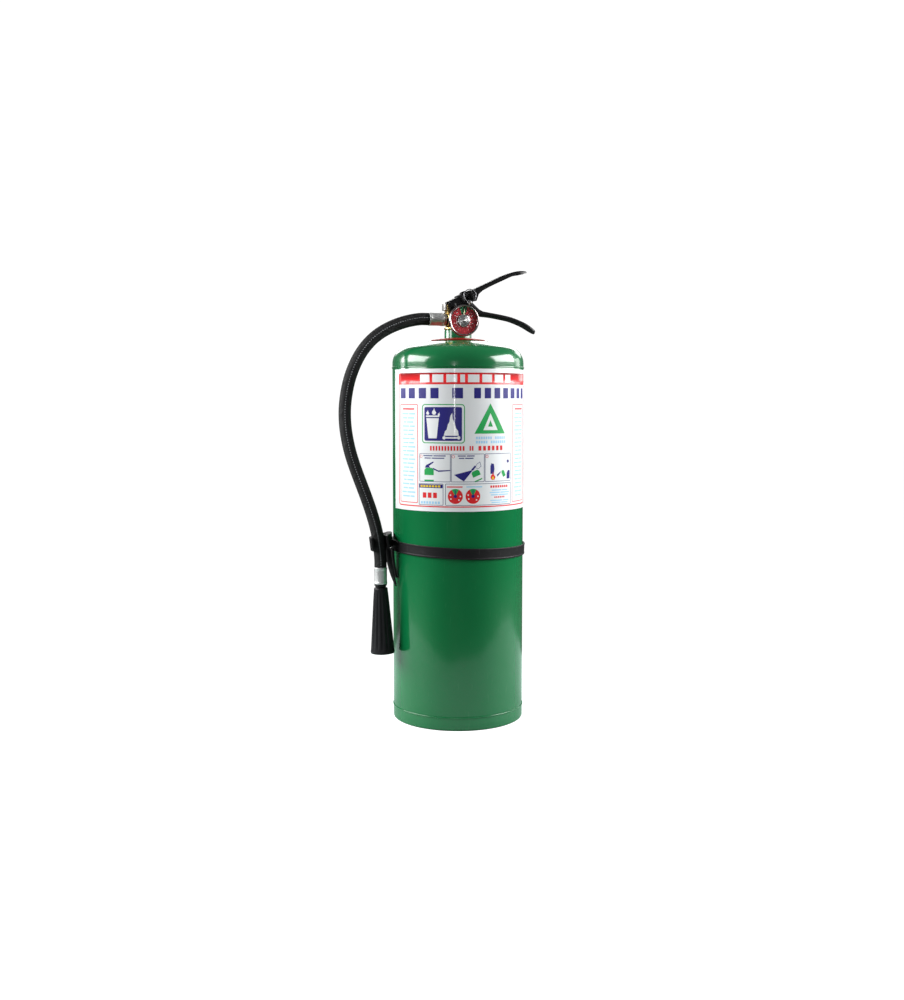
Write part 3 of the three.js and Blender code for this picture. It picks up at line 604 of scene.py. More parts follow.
LEVER_COAT = black_coat("lever powder coat", (0.0038, 0.0038, 0.0044), 1100.0, (0.30, 0.42), 0.00004,
                        0.12, (0.05, 0.05, 0.055)).material
PLASTIC = black_coat("black moulded plastic", (0.006, 0.006, 0.0066), 1300.0, (0.36, 0.5), 0.00004,
                     0.2, (0.05, 0.05, 0.055)).material
NOZZLE_PLASTIC = black_coat("nozzle plastic", (0.0105, 0.0105, 0.012), 900.0, (0.30, 0.42), 0.00003,
                            0.2, (0.05, 0.05, 0.055)).material
STRAP_RUBBER = black_coat("strap rubber", (0.0050, 0.0046, 0.0056), 800.0, (0.46, 0.6), 0.00006,
                          0.3, (0.06, 0.055, 0.06)).material
SEAL_RUBBER = black_coat("seal rubber", (0.010, 0.010, 0.010), 900.0, (0.5, 0.65), 0.00004,
                         0.1, (0.04, 0.04, 0.04)).material
HOSE_RUBBER = hose_rubber()


# ------------------------------------------------------------ tank
def crown_height(radius, offset=0.0):
    sphere = CROWN_RADIUS - offset
    return CROWN_TOP_Z - CROWN_RADIUS + sqrt(sphere * sphere - radius * radius)


def dome_outline(hole, low_z, offset, crown_steps, knuckle_steps):
    centre = TANK_RADIUS - KNUCKLE_RADIUS
    meeting = atan2(centre, sqrt((CROWN_RADIUS - KNUCKLE_RADIUS) ** 2 - centre ** 2))
    start = atan2(hole, sqrt((CROWN_RADIUS - offset) ** 2 - hole ** 2))
    line = []
    for step in range(crown_steps + 1):
        angle = start + (meeting - start) * step / crown_steps
        radius = (CROWN_RADIUS - offset) * sin(angle)
        line.append((radius, crown_height(radius, offset)))
    for step in range(1, knuckle_steps + 1):
        angle = meeting + (pi / 2 - meeting) * step / knuckle_steps
        reach = KNUCKLE_RADIUS - offset
        line.append((centre + reach * sin(angle), KNUCKLE_Z + reach * cos(angle)))
    return [*line, (TANK_RADIUS - offset, low_z)]


def weld_bead(name, seam_z, node):
    """A low bead with the uneven ripple that a welding torch leaves."""
    inner = TANK_RADIUS - TANK_WALL
    bead = turned(name, [
        (inner, seam_z - 0.0010), (TANK_RADIUS - 0.0002, seam_z - 0.0010),
        (TANK_RADIUS + 0.0007, seam_z - 0.0009, 0.0007), (TANK_RADIUS + 0.0007, seam_z + 0.0007, 0.0012),
        (TANK_RADIUS - 0.0002, seam_z + 0.0010),
        (inner, seam_z + 0.0010), (inner, seam_z - 0.0010),
    ], steps=360)
    for vertex in bead.data.vertices:
        spread = hypot(vertex.co.x, vertex.co.y)
        if spread > TANK_RADIUS:
            angle = atan2(vertex.co.y, vertex.co.x)
            ripple = 0.5 + 0.5 * sin(angle * 150 + 2.0 * sin(angle * 7)) * (0.7 + 0.3 * sin(angle * 11))
            shift = 1 + (ripple - 0.4) * 0.0005 / TANK_RADIUS
            vertex.co.x *= shift
            vertex.co.y *= shift
    finished(bead, "tank", "tank_paint", GREEN, node, smooth=60)


def make_tank():
    inner = TANK_RADIUS - TANK_WALL
    low, high = BASE_SEAM_Z + 0.0010, TOP_SEAM_Z - 0.0010
    body = turned("tank_wall", [
        (inner, low), (TANK_RADIUS, low, 0.0004), (TANK_RADIUS, low + 0.15), (TANK_RADIUS, low + 0.3),
        (TANK_RADIUS, high, 0.0004), (inner, high), (inner, low),
    ], steps=160)
    finished(body, "tank", "tank_paint", GREEN, "tank_shell")
    hole = NECK_RADIUS + 0.0002
    outside = dome_outline(hole, TOP_SEAM_Z + 0.0010, 0.0, 14, 14)
    inside = dome_outline(hole, TOP_SEAM_Z + 0.0010, TANK_WALL, 6, 8)
    dome = turned("dome_head", [*outside, *inside[::-1], outside[0]], steps=160)
    finished(dome, "tank", "tank_paint", GREEN, "tank_dome")
    weld_bead("seam_bead_top", TOP_SEAM_Z, "top_weld_bead")
    weld_bead("seam_bead_base", BASE_SEAM_Z, "base_weld_bead")
    foot_top = BASE_SEAM_Z - 0.0010
    foot = turned("foot_skirt", [
        (0.0826, 0.0, 0.0004), (0.0862, 0.0, 0.0006), (TANK_RADIUS, 0.0014, 0.0016),
        (TANK_RADIUS, foot_top, 0.0004), (inner, foot_top), (inner, 0.0026, 0.0008),
        (0.0860, 0.0016, 0.0006), (0.0826, 0.0016, 0.0004), (0.0826, 0.0),
    ], steps=160)
    finished(foot, "tank", "tank_paint", GREEN, "foot_ring")
    flange = inner - 0.0003
    dish = [(0.079 * step / 10, 0.0444 - 0.022 * (step / 10) ** 2) for step in range(11)]
    above = [(radius, height + TANK_WALL) for radius, height in dish]
    bottom = turned("base_dish", [
        *dish, (0.0834, 0.0198, 0.002), (flange - TANK_WALL, 0.016, 0.002), (flange - TANK_WALL, 0.006),
        (flange, 0.006), (flange, 0.0175, 0.003), (0.0844, 0.0224, 0.002), *above[::-1],
    ], steps=96)
    finished(bottom, "tank", "tank_paint", GREEN, "bottom_head")


def make_neck():
    bore = 0.0134
    top = NECK_HIGH
    neck = turned("threaded_neck", [
        (bore, NECK_LOW), (NECK_RADIUS, NECK_LOW), (NECK_RADIUS, top - 0.0022, 0.0005),
        (NECK_RADIUS - 0.0004, top, 0.0009), (0.0162, top, 0.0003), (0.0162, top - 0.002),
        (bore, top - 0.002), (bore, NECK_LOW),
    ], steps=96)
    finished(neck, "tank", "tank_paint", GREEN, "neck_collar")
    inner = NECK_RADIUS + 0.0002
    outer = inner + 0.0028
    weld = turned("neck_fillet", [
        (inner, crown_height(inner)), (outer, crown_height(outer) + 0.0001, 0.0006),
        (inner + 0.0012, 0.5172, 0.001), (inner, 0.5173), (inner, crown_height(inner)),
    ], steps=120)
    finished(weld, "tank", "tank_paint", GREEN, "neck_weld")
    hole, bend, reach = NECK_RADIUS + 0.0007, NECK_RADIUS + 0.0047, COLLAR_RADIUS - 0.0003
    under = [(hole, COLLAR_Z), (bend - 0.0012, COLLAR_Z - 0.0001)]
    for step in range(1, 7):
        radius = bend + (reach - bend) * step / 6
        under.append((radius, crown_height(radius) + 0.0005 + 0.0004 * (1 - step / 6)))
    over = [(radius, height + 0.0010) for radius, height in under]
    collar = turned("red_collar", [
        *under, (reach + 0.0003, under[-1][1] + 0.0005), *over[::-1], under[0],
    ], steps=128)
    finished(collar, "tank", "collar_plastic", COLLAR_RED, "service_collar")


# ------------------------------------------------------------ label
# Label art is laid out flat: X is the distance round the tank from the label's middle, Z is the height,
# and -Y is outwards. It is cut into the label's own strips and then wrapped.
STRIP = 2 * LABEL_HALF * LABEL_RADIUS / LABEL_STRIPS
INK_THICKNESS = 0.00004


def wrap(piece):
    for vertex in piece.data.vertices:
        angle = LABEL_CENTRE + vertex.co.x / LABEL_RADIUS
        reach = LABEL_RADIUS - vertex.co.y
        vertex.co = (reach * cos(angle), reach * sin(angle), vertex.co.z)
    return piece


def flat_box(x0, x1, z0, z1, corner=0.0):
    """A rectangle's outline, with corners of that radius."""
    points = []
    for centre_x, centre_z, start in ((x1, z1, 0), (x0, z1, 90), (x0, z0, 180), (x1, z0, 270)):
        if not corner:
            points.append((centre_x, centre_z))
            continue
        for step in range(7):
            angle = radians(start + 15 * step)
            centre = (centre_x - corner * (1 if centre_x == x1 else -1),
                      centre_z - corner * (1 if centre_z == z1 else -1))
            points.append((centre[0] + corner * cos(angle), centre[1] + corner * sin(angle)))
    return points


def disc(x, z, radius, sides=32, start=0.0, end=360.0):
    """A disc's outline, or a wedge's when it isn't a full turn."""
    whole = end - start >= 360
    points = [] if whole else [(x, z)]
    for step in range(sides + (0 if whole else 1)):
        angle = radians(start + (end - start) * step / sides)
        points.append((x + radius * cos(angle), z + radius * sin(angle)))
    return points


def filled(outline):
    piece = drawn("shape", in_xz([*outline, outline[0]], 0))
    bpy.ops.mesh.remove_doubles(threshold=1e-7)
    bpy.ops.mesh.select_all(action="SELECT")
    bpy.ops.mesh.edge_face_add()
    bpy.ops.object.mode_set(mode="OBJECT")
    return piece


def framed(outline, line):
    """Only a line along the outline: the filled shape is inset and its middle deleted."""
    piece = filled(outline)
    bpy.ops.object.mode_set(mode="EDIT")
    bpy.ops.mesh.select_all(action="SELECT")
    bpy.ops.mesh.inset(thickness=line, use_boundary=True)
    bpy.ops.mesh.delete(type="FACE")
    bpy.ops.object.mode_set(mode="OBJECT")
    return piece


def print_on_label(name, shapes, colour, layer=1):
    """One ink's shapes as a thin layer on the label."""
    piece = joined(name, shapes)
    bpy.ops.object.mode_set(mode="EDIT")
    for strip in range(1, LABEL_STRIPS):
        place = -LABEL_HALF * LABEL_RADIUS + strip * STRIP
        bpy.ops.mesh.select_all(action="SELECT")
        bpy.ops.mesh.bisect(plane_co=(place, 0, 0), plane_no=(1, 0, 0))
    bpy.ops.mesh.select_all(action="SELECT")
    bpy.ops.mesh.extrude_region_move(TRANSFORM_OT_translate={"value": (0, -INK_THICKNESS * layer, 0)})
    closed_up()
    wrap(piece)
    finished(piece, "tank", "label_paper", INK[colour], smooth=20)


def lines_of_text(x0, x1, z_top, rows, pitch, height, seed=1):
    """Rows of short bars that stand for small print."""
    bars = []
    for row in range(rows):
        z = z_top - row * pitch
        share = 0.72 + 0.28 * ((row * 7 + seed * 5) % 11) / 10
        width = (x1 - x0) * share
        left = (x0 + x1 - width) / 2
        gap = width * (0.35 + 0.3 * ((row * 5 + seed) % 7) / 6)
        bars.append(filled(flat_box(left, left + gap - 0.0006, z - height, z)))
        bars.append(filled(flat_box(left + gap + 0.0006, left + width, z - height, z)))
    return bars


def block_row(x0, x1, z0, z1, count, share=0.66):
    """A row of plain blocks that stands for one printed word."""
    pitch = (x1 - x0) / count
    return [filled(flat_box(x0 + pitch * n, x0 + pitch * (n + share), z0, z1)) for n in range(count)]


def flame(x, z, width, height, lean=0.0):
    half = width / 2
    return [
        (x - half * 0.5, z), (x - half, z + height * 0.25), (x - half * 0.8, z + height * 0.55),
        (x - half * 0.25 + lean * 0.5, z + height * 0.7), (x + lean, z + height),
        (x + half * 0.35 + lean * 0.4, z + height * 0.62), (x + half, z + height * 0.35),
        (x + half * 0.55, z),
    ]


def small_tank(x, z, lean=0.0, size=1.0, part="whole"):
    """A plain picture of an extinguisher body, or of its foot or its head, leaning to one side."""
    points = {
        "whole": [(-0.0045, 0.0), (0.0045, 0.0), (0.0045, 0.0125), (0.0028, 0.0155), (-0.0028, 0.0155),
                  (-0.0045, 0.0125)],
        "foot": [(-0.0052, 0.0), (0.0052, 0.0), (0.0052, 0.0016), (-0.0052, 0.0016)],
        "head": [(-0.0052, 0.0062), (0.0052, 0.0062), (0.0052, 0.0112), (0.0034, 0.0134), (-0.0034, 0.0134),
                 (-0.0052, 0.0112)],
    }[part]
    return [(x + size * (px * cos(lean) - pz * sin(lean)), z + size * (px * sin(lean) + pz * cos(lean)))
            for px, pz in points]


def make_label():
    low, high = LABEL_LOW_Z, LABEL_HIGH_Z
    edge = LABEL_HALF * LABEL_RADIUS
    thickness = 0.0003
    sheet = drawn("label_vinyl", in_xz([(edge, low), (edge, high)], thickness))
    for strip in range(LABEL_STRIPS - 1):
        bpy.ops.mesh.extrude_region_move(TRANSFORM_OT_translate={"value": (-STRIP, 0, 0)})
    bpy.ops.mesh.select_all(action="SELECT")
    bpy.ops.mesh.extrude_region_move(TRANSFORM_OT_translate={"value": (0, -thickness, 0)})
    closed_up()
    finished(wrap(sheet), "tank", "label_paper", PAPER, "label_sheet", smooth=20)

    border = 0.109
    columns = [(-0.1046, -0.0697), (0.0686, 0.1040)]
    red = [
        framed(flat_box(-border, border, 0.2965, 0.4705, 0.005), 0.0015),
        filled(flat_box(-border, border, 0.4555, 0.4705, 0.0035)),
    ]
    for x0, x1 in columns:
        red.append(framed(flat_box(x0, x1, 0.3010, 0.4302, 0.002), 0.0010))
        red.append(filled(flat_box(x0 + 0.006, x1 - 0.006, 0.4228, 0.4248)))
    for x0, x1, count in ((-0.0513, -0.004, 12), (0.001, 0.0075, 2), (0.013, 0.0515, 6)):
        red += block_row(x0, x1, 0.3702, 0.3762, count, 0.6)
    red += block_row(-0.062, -0.0395, 0.3085, 0.3155, 3, 0.7)
    red += [filled(disc(x, 0.3110, 0.0098)) for x in (-0.0174, 0.0057)]
    red += [framed(disc(x, 0.3625, 0.0020, 16), 0.0005) for x in (-0.0645, -0.0200, 0.0250)]
    red += block_row(0.030, 0.0600, 0.3215, 0.3245, 8, 0.7) + block_row(0.036, 0.0540, 0.3080, 0.3100, 6, 0.7)
    red += [filled(flat_box(-0.0285, -0.0080, 0.3225, 0.3240)), filled(flame(0.0340, 0.3318, 0.0075, 0.0105))]
    print_on_label("label_print_red", red, "red")

    navy = block_row(-0.1035, -0.0330, 0.4375, 0.4510, 4, 0.64)
    navy += block_row(-0.0215, -0.0040, 0.4375, 0.4510, 1, 0.8)
    navy += block_row(0.0070, 0.1080, 0.4375, 0.4510, 7, 0.64)
    navy.append(filled(flat_box(-0.0594, -0.0088, 0.3828, 0.4264, 0.0022)))
    navy.append(filled(flat_box(-0.0675, -0.0340, 0.3215, 0.3262)))
    navy += lines_of_text(-0.0610, -0.0300, 0.3640, 2, 0.0030, 0.0013, 2)
    navy += lines_of_text(-0.0165, 0.0100, 0.3640, 2, 0.0030, 0.0013, 3)
    navy.append(filled([(-0.0592, 0.3478), (-0.0570, 0.3512), (-0.0468, 0.3560), (-0.0460, 0.3548),
                        (-0.0530, 0.3500), (-0.0505, 0.3478)]))
    navy.append(filled([(-0.0470, 0.3478), (-0.0400, 0.3446), (-0.0240, 0.3452), (-0.0240, 0.3440),
                        (-0.0395, 0.3426), (-0.0478, 0.3462)]))
    navy.append(filled([(0.0052, 0.3452), (0.0046, 0.3440), (-0.0063, 0.3305), (-0.0130, 0.3345),
                        (-0.0190, 0.3390)]))
    navy.append(filled([(0.0030, 0.3452), (0.0080, 0.3510), (0.0098, 0.3500), (0.0060, 0.3446)]))
    navy.append(framed([(0.0080, 0.3480), (0.0108, 0.3530), (0.0150, 0.3560), (0.0168, 0.3500),
                        (0.0130, 0.3465)], 0.0005))
    navy.append(filled([(0.0300, 0.3395), (0.0300, 0.3500), (0.0315, 0.3535), (0.0352, 0.3525),
                        (0.0362, 0.3460), (0.0350, 0.3395)]))
    navy.append(filled([(0.0398, 0.3380), (0.0466, 0.3428), (0.0460, 0.3408), (0.0412, 0.3358)]))
    navy.append(filled(disc(0.0596, 0.3555, 0.0021, 16)))
    navy.append(filled([(0.0572, 0.3325), (0.0630, 0.3325), (0.0634, 0.3430), (0.0600, 0.3440),
                        (0.0574, 0.3400)]))
    print_on_label("label_print_navy", navy, "navy")

    green = [framed(flat_box(-0.0631, -0.0050, 0.3795, 0.4302, 0.0045), 0.0012)]
    green.append(filled([(0.0298, 0.4310), (0.0074, 0.3920), (0.0533, 0.3920)]))
    green += [filled(small_tank(-0.0528, 0.3302, 0.0, 1.3, part)) for part in ("foot", "head")]
    green += [filled(small_tank(0.0135, 0.3312, 0.4, 1.05, part)) for part in ("foot", "head")]
    green.append(filled(small_tank(0.0530, 0.3360, 0.45, 0.55)))
    print_on_label("label_print_green", green, "green")

    blue = []
    for side, (x0, x1) in enumerate(columns):
        blue += lines_of_text(x0 + 0.0045, x1 - 0.0045, 0.4185, 21, 0.0054, 0.0020, side + 4)
    for x0, x1, z0, z1, count in ((0.0096, 0.0330, 0.3848, 0.3882, 7), (0.0370, 0.0545, 0.3848, 0.3882, 5),
                                  (0.0096, 0.0265, 0.3794, 0.3828, 5), (0.0305, 0.0555, 0.3794, 0.3828, 7)):
        blue += block_row(x0, x1, z0, z1, count, 0.7)
    blue += lines_of_text(0.0290, 0.0620, 0.3190, 3, 0.0031, 0.0014, 5)
    blue += lines_of_text(0.0290, 0.0620, 0.3055, 2, 0.0028, 0.0013, 6)
    blue += [filled(flat_box(-0.0030, 0.0180, 0.3225, 0.3240))]
    blue += block_row(-0.0650, -0.0365, 0.3008, 0.3040, 7, 0.7)
    print_on_label("label_print_blue", blue, "blue")

    grey = [framed(flat_box(x0, x1, 0.3295, 0.3662, 0.0012), 0.0007)
            for x0, x1 in ((-0.0672, -0.0235), (-0.0229, 0.0213), (0.0219, 0.0652))]
    grey += [framed(flat_box(x0, x1, 0.2990, 0.3274, 0.0012), 0.0007)
             for x0, x1 in ((-0.0681, -0.0331), (-0.0305, 0.0657))]
    print_on_label("label_print_grey", grey, "grey")

    white = [filled(flat_box(x0, x1, 0.4582, 0.4682)) for x0, x1 in (
        (-0.0660, -0.0520), (-0.0480, -0.0330), (-0.0290, -0.0150), (-0.0110, -0.0050), (-0.0010, 0.0140),
        (0.0180, 0.0320), (0.0360, 0.0500), (0.0540, 0.0640))]
    white.append(filled([(-0.0565, 0.4120), (-0.0535, 0.3860), (-0.0420, 0.3860), (-0.0390, 0.4120)]))
    white.append(filled(flat_box(-0.0572, -0.0383, 0.4135, 0.4155, 0.0006)))
    white += [filled(flame(-0.0545, 0.4165, 0.0046, 0.0060)), filled(flame(-0.0455, 0.4165, 0.0060, 0.0085)),
              filled(flame(-0.0390, 0.4150, 0.0030, 0.0050, 0.0008))]
    white.append(filled([(-0.0325, 0.3895), (-0.0310, 0.3950), (-0.0285, 0.3975), (-0.0270, 0.4040),
                         (-0.0250, 0.4075), (-0.0238, 0.4150), (-0.0215, 0.4190), (-0.0208, 0.4110),
                         (-0.0180, 0.4050), (-0.0165, 0.3990), (-0.0140, 0.3960), (-0.0130, 0.3895)]))
    white += [filled(disc(x, 0.3868, 0.0022, 12)) for x in (-0.0320, -0.0130)]
    white.append(filled(flat_box(-0.0300, -0.0150, 0.3858, 0.3878, 0.0004)))
    for x in (-0.0174, 0.0057):
        for start in (150, 195, 300, 345):
            spot = (x + 0.0066 * cos(radians(start + 15)), 0.3110 + 0.0066 * sin(radians(start + 15)))
            white.append(filled(disc(*spot, 0.0010, 10)))
    white.append(filled([(0.0298, 0.4185), (0.0195, 0.3965), (0.0410, 0.3965)]))
    print_on_label("label_print_white", white, "white", 2)

    small = [filled(disc(x, 0.3110, 0.0098, 6, 62, 118)) for x in (-0.0174, 0.0057)]
    small.append(filled([(0.0298, 0.4095), (0.0262, 0.4010), (0.0335, 0.4010)]))
    print_on_label("label_print_green_top", small, "green", 3)
    hubs = [filled(disc(x, 0.3110, 0.0022, 16)) for x in (-0.0174, 0.0057)]
    hubs += [filled(flat_box(x - 0.0005, x + 0.0005, 0.3110, 0.3190)) for x in (-0.0174, 0.0057)]
    print_on_label("label_print_navy_top", hubs, "navy", 4)
    sparks = [filled(flame(0.0340, 0.3325, 0.003, 0.005))]
    sparks += block_row(-0.0655, -0.0360, 0.3226, 0.3250, 7, 0.75)
    print_on_label("label_print_yellow", sparks, "yellow", 3)


# ------------------------------------------------------------ valve
def make_valve():
    block_half = 0.0072
    barrel = turned("valve_forging", [
        (0.0083, 0.508), (0.0130, 0.508), (0.0130, 0.5303), (0.0187, 0.5303, 0.0005),
        (0.0187, 0.5330, 0.0009), (0.0150, 0.5336, 0.0006), (0.0123, 0.5350, 0.0012),
        (0.0123, 0.5520, 0.0008), (0.0083, 0.5520),
        (0.0083, 0.508),
    ], steps=72)
    block = plate("valve_block", in_xz([
        (-0.0176, 0.5552), (-0.0176, 0.5634), (0.0138, 0.5634), (0.0138, 0.5502), (-0.0164, 0.5502),
        (-0.0168, 0.5552),
    ], -block_half), (0, 2 * block_half, 0), 0.0008, 3)
    boss = turned("outlet_boss", [
        (0.0054, -0.0166), (0.0098, -0.0166, 0.0004), (0.0104, -0.0160, 0.0006), (0.0104, -0.0110, 0.001),
        (0.0098, -0.0020), (0.0054, -0.0020), (0.0054, -0.0166),
    ], (0, 0, OUTLET_Z), X, 64)
    pad = turned("gauge_pad", [
        (0.0043, 0.0080), (0.0070, 0.0080), (0.0070, 0.0125, 0.0006), (0.0043, 0.0125), (0.0043, 0.0080),
    ], (0, 0, GAUGE_CENTRE.z), FRONT, 48)
    valve = welded(block, barrel, boss, pad)
    for axis, radius in ((PIVOT, 0.0027), (RIVET, 0.0021)):
        cut(valve, drill("bore", axis, radius, 0.012, Y, 40))
    stem_way = turned("bore", [(0, 0.545), (0.0032, 0.545), (0.0032, 0.570), (0, 0.570)], steps=32)
    cut(valve, stem_way)
    valve.name = "valve_forging"
    finished(valve, "tank", "valve_brass", BRASS, "valve_body", smooth=30)
    lip = plate("valve_lip", in_xz([
        (-0.0206, 0.5556), (-0.0206, 0.5650), (-0.0200, 0.5656), (-0.0184, 0.5656), (-0.0177, 0.5640),
        (-0.0177, 0.5556),
    ], -block_half), (0, 2 * block_half, 0), 0.0006, 3)
    finished(lip, "tank", "nickel_plate", NICKEL)


# ------------------------------------------------------------ levers
def channel(name, stations, closed_tip):
    """Bent sheet: each station gives its ridge, bend and rim points and its half width."""
    bend = 0.0022
    sections = []
    for ridge, waist, rim, half in stations:
        side = (ridge - rim).normalized() if (ridge - rim).length > 1e-6 else Z
        drop = min(bend, (ridge - rim).length * 0.45)
        pull = min(bend, half * 0.5)
        right = [rim, waist]
        ring = []
        for point in right:
            ring.append(Vector((point.x, -half, point.z)))
        for step in range(5):
            angle = pi / 2 * step / 4
            across = half - pull * (1 - cos(angle))
            height = drop * (1 - sin(angle))
            corner = ridge - side * height
            ring.append(Vector((corner.x, -across, corner.z)))
        sections.append([*ring, *[Vector((p.x, -p.y, p.z)) for p in reversed(ring)]])
    piece = lofted(name, sections, loop=False)
    if closed_tip:
        last = sections[-1]
        bpy.ops.object.mode_set(mode="EDIT")
        bpy.ops.mesh.select_all(action="DESELECT")
        sketch = bmesh.from_edit_mesh(piece.data)
        for vertex in sketch.verts:
            vertex.select = min((vertex.co - point).length for point in last) < 1e-6
        sketch.select_flush(True)
        bmesh.update_edit_mesh(piece.data)
        bpy.ops.mesh.edge_face_add()
        bpy.ops.object.mode_set(mode="OBJECT")
    return piece


def at(x, z):
    return Vector((x / 1000, 0, z / 1000))


def refined(stations, start, per_span=4):
    """The stations from start on, with smooth ones added in between."""
    kept = stations[:start]
    rows = stations[start:]
    columns = [smooth_line([row[i] for row in rows], per_span) for i in range(3)]
    widths = smooth_line([Vector((row[3], 0, 0)) for row in rows], per_span)
    return kept + [(a, b, c, w.x) for a, b, c, w in zip(*columns, widths)]


def thicken(piece):
    """Gives bent sheet its thickness, on the inside."""
    before = max(vertex.co.y for vertex in piece.data.vertices)
    trial = piece.copy()
    trial.data = piece.data.copy()
    bpy.context.collection.objects.link(trial)
    applied(trial, "SOLIDIFY", thickness=SHEET, offset=-1, use_even_offset=False)
    inwards = max(vertex.co.y for vertex in trial.data.vertices) < before + SHEET / 4
    bpy.data.objects.remove(trial)
    applied(piece, "SOLIDIFY", thickness=SHEET, offset=-1 if inwards else 1, use_even_offset=False)
    return rounded(piece, 0.0004, 2, 50)


def on_circle(centre, radius, angle):
    return centre + Vector((cos(radians(angle)), 0, sin(radians(angle)))) * radius


def slot_tool(travel):
    """The pin's path through the lever as it closes, as a cutter."""
    radius = 0.0024
    reach = PIN_AXIS - PIVOT
    start = degrees(atan2(reach.z, reach.x))
    points = []
    for step in range(9):
        points.append(on_circle(PIVOT, reach.length + radius, start + travel * step / 8))
    for step in range(9):
        points.append(on_circle(PIVOT, reach.length - radius, start + travel - travel * step / 8))
    cutter = plate("slot", [point + Y * -0.02 for point in points], (0, 0.04, 0))
    ends = []
    for angle in (start, start + travel):
        centre = on_circle(PIVOT, reach.length, angle)
        ends.append(drill("slot_end", centre, radius, 0.02, Y, 32))
    return [cutter, *ends]


def make_lever():
    heel = 0.0072
    half = LEVER_HALF
    stations = [
        (on_circle(PIVOT, heel, 128), on_circle(PIVOT, heel, 168), on_circle(PIVOT, heel, 214), half),
        (on_circle(PIVOT, heel, 115.5), at(-14.0, 563.4), at(-12, 558.4), half),
        (at(0, 574.7), at(0, 566.5), at(0, 559.3), half),
        (at(10, 579.5), at(11, 569), at(12, 560.2), half),
        (at(17, 582.9), at(17, 574), at(17.2, 567.4), half),
        (at(24, 586.2), at(23.6, 577), at(22.8, 568.8), half),
        (at(28, 588.1), at(27.2, 583), at(25.9, 577.6), half),
        (at(33, 590.5), at(32.2, 586.6), at(31.3, 582.6), half),
        (at(45.4, 596.2), at(45.4, 593), at(45.4, 589.9), half),
        (at(59.9, 603.2), at(59.9, 600), at(59.9, 596.6), half),
        (at(74.4, 608.6), at(74.4, 606), at(74.4, 603.2), half),
        (at(84, 610.6), at(84, 608.5), at(84, 605.8), half * 0.985),
        (at(90, 611.1), at(90, 609.3), at(90, 606.8), half * 0.87),
        (at(94.5, 611.2), at(94.5, 609.8), at(94.5, 608), half * 0.66),
        (at(97.2, 611.0), at(97.2, 610.0), at(97.2, 608.8), half * 0.4),
        (at(98.2, 610.7), at(98.2, 610.1), at(98.2, 609.4), half * 0.2),
    ]
    lever = thicken(channel("squeeze_lever", refined(stations, 7), True))
    cut(lever, drill("bore", PIVOT, 0.0027, 0.02, Y, 40), *slot_tool(15))
    finished(lever, "lever", "lever_paint", LEVER_COAT, "operating_lever", smooth=40)


def make_handle():
    half = HANDLE_HALF
    stations = [
        (at(-14.0, 552.8), at(-14.4, 557.5), at(-14.9, 562), half),
        (at(-10, 552.8), at(-12.4, 560), at(-10.9, 566.8), half),
        (at(0, 552.8), at(0, 561), at(0, 568.8), half),
        (at(12, 552.8), at(12, 562), at(12, 571.0), half),
        (at(14.8, 552.8), at(14.9, 562), at(14.9, 571.0), half),
        (at(16.5, 549.4), at(17.2, 558), at(17.8, 566.2), half),
        (at(22, 549.1), at(22.3, 555.5), at(22.5, 561.9), half),
        (at(28.3, 548.8), at(28, 553), at(27.6, 557.3), half),
        (at(34, 548.5), at(33.6, 552), at(33, 554.9), half),
        (at(45.6, 547.6), at(45.6, 550.5), at(45.6, 553), half),
        (at(60.1, 545.4), at(60.1, 548), at(60.1, 550.7), half),
        (at(74.8, 542.5), at(74.8, 545), at(74.7, 547.6), half),
        (at(89.5, 537.4), at(89.5, 540), at(89.4, 542.4), half),
        (at(98, 533.2), at(98, 535.9), at(98, 538.4), half * 0.97),
        (at(104.0, 529.6), at(104.3, 532), at(104.6, 534.4), half * 0.86),
        (at(108.0, 527.0), at(108.6, 529.4), at(109.2, 531.6), half * 0.6),
        (at(110.0, 526.0), at(110.8, 528.0), at(111.4, 529.8), half * 0.3),
    ]
    tray = channel("handle_tray", refined(stations, 8), True)
    bpy.ops.object.mode_set(mode="EDIT")
    bpy.ops.mesh.select_mode(type="FACE")
    bpy.ops.mesh.select_all(action="DESELECT")
    sketch = bmesh.from_edit_mesh(tray.data)
    for face in sketch.faces:
        centre = face.calc_center_median()
        face.select = centre.x < 0.0160 and abs(centre.y) < half - 0.0004
    bmesh.update_edit_mesh(tray.data)
    bpy.ops.mesh.delete(type="FACE")
    bpy.ops.object.mode_set(mode="OBJECT")
    thicken(tray)
    for axis, radius in ((PIVOT, 0.0027), (RIVET, 0.0021), (PIN_AXIS, 0.0024)):
        cut(tray, drill("bore", axis, radius, 0.02))
    finished(tray, "tank", "lever_paint", LEVER_COAT, "carry_handle", smooth=40)


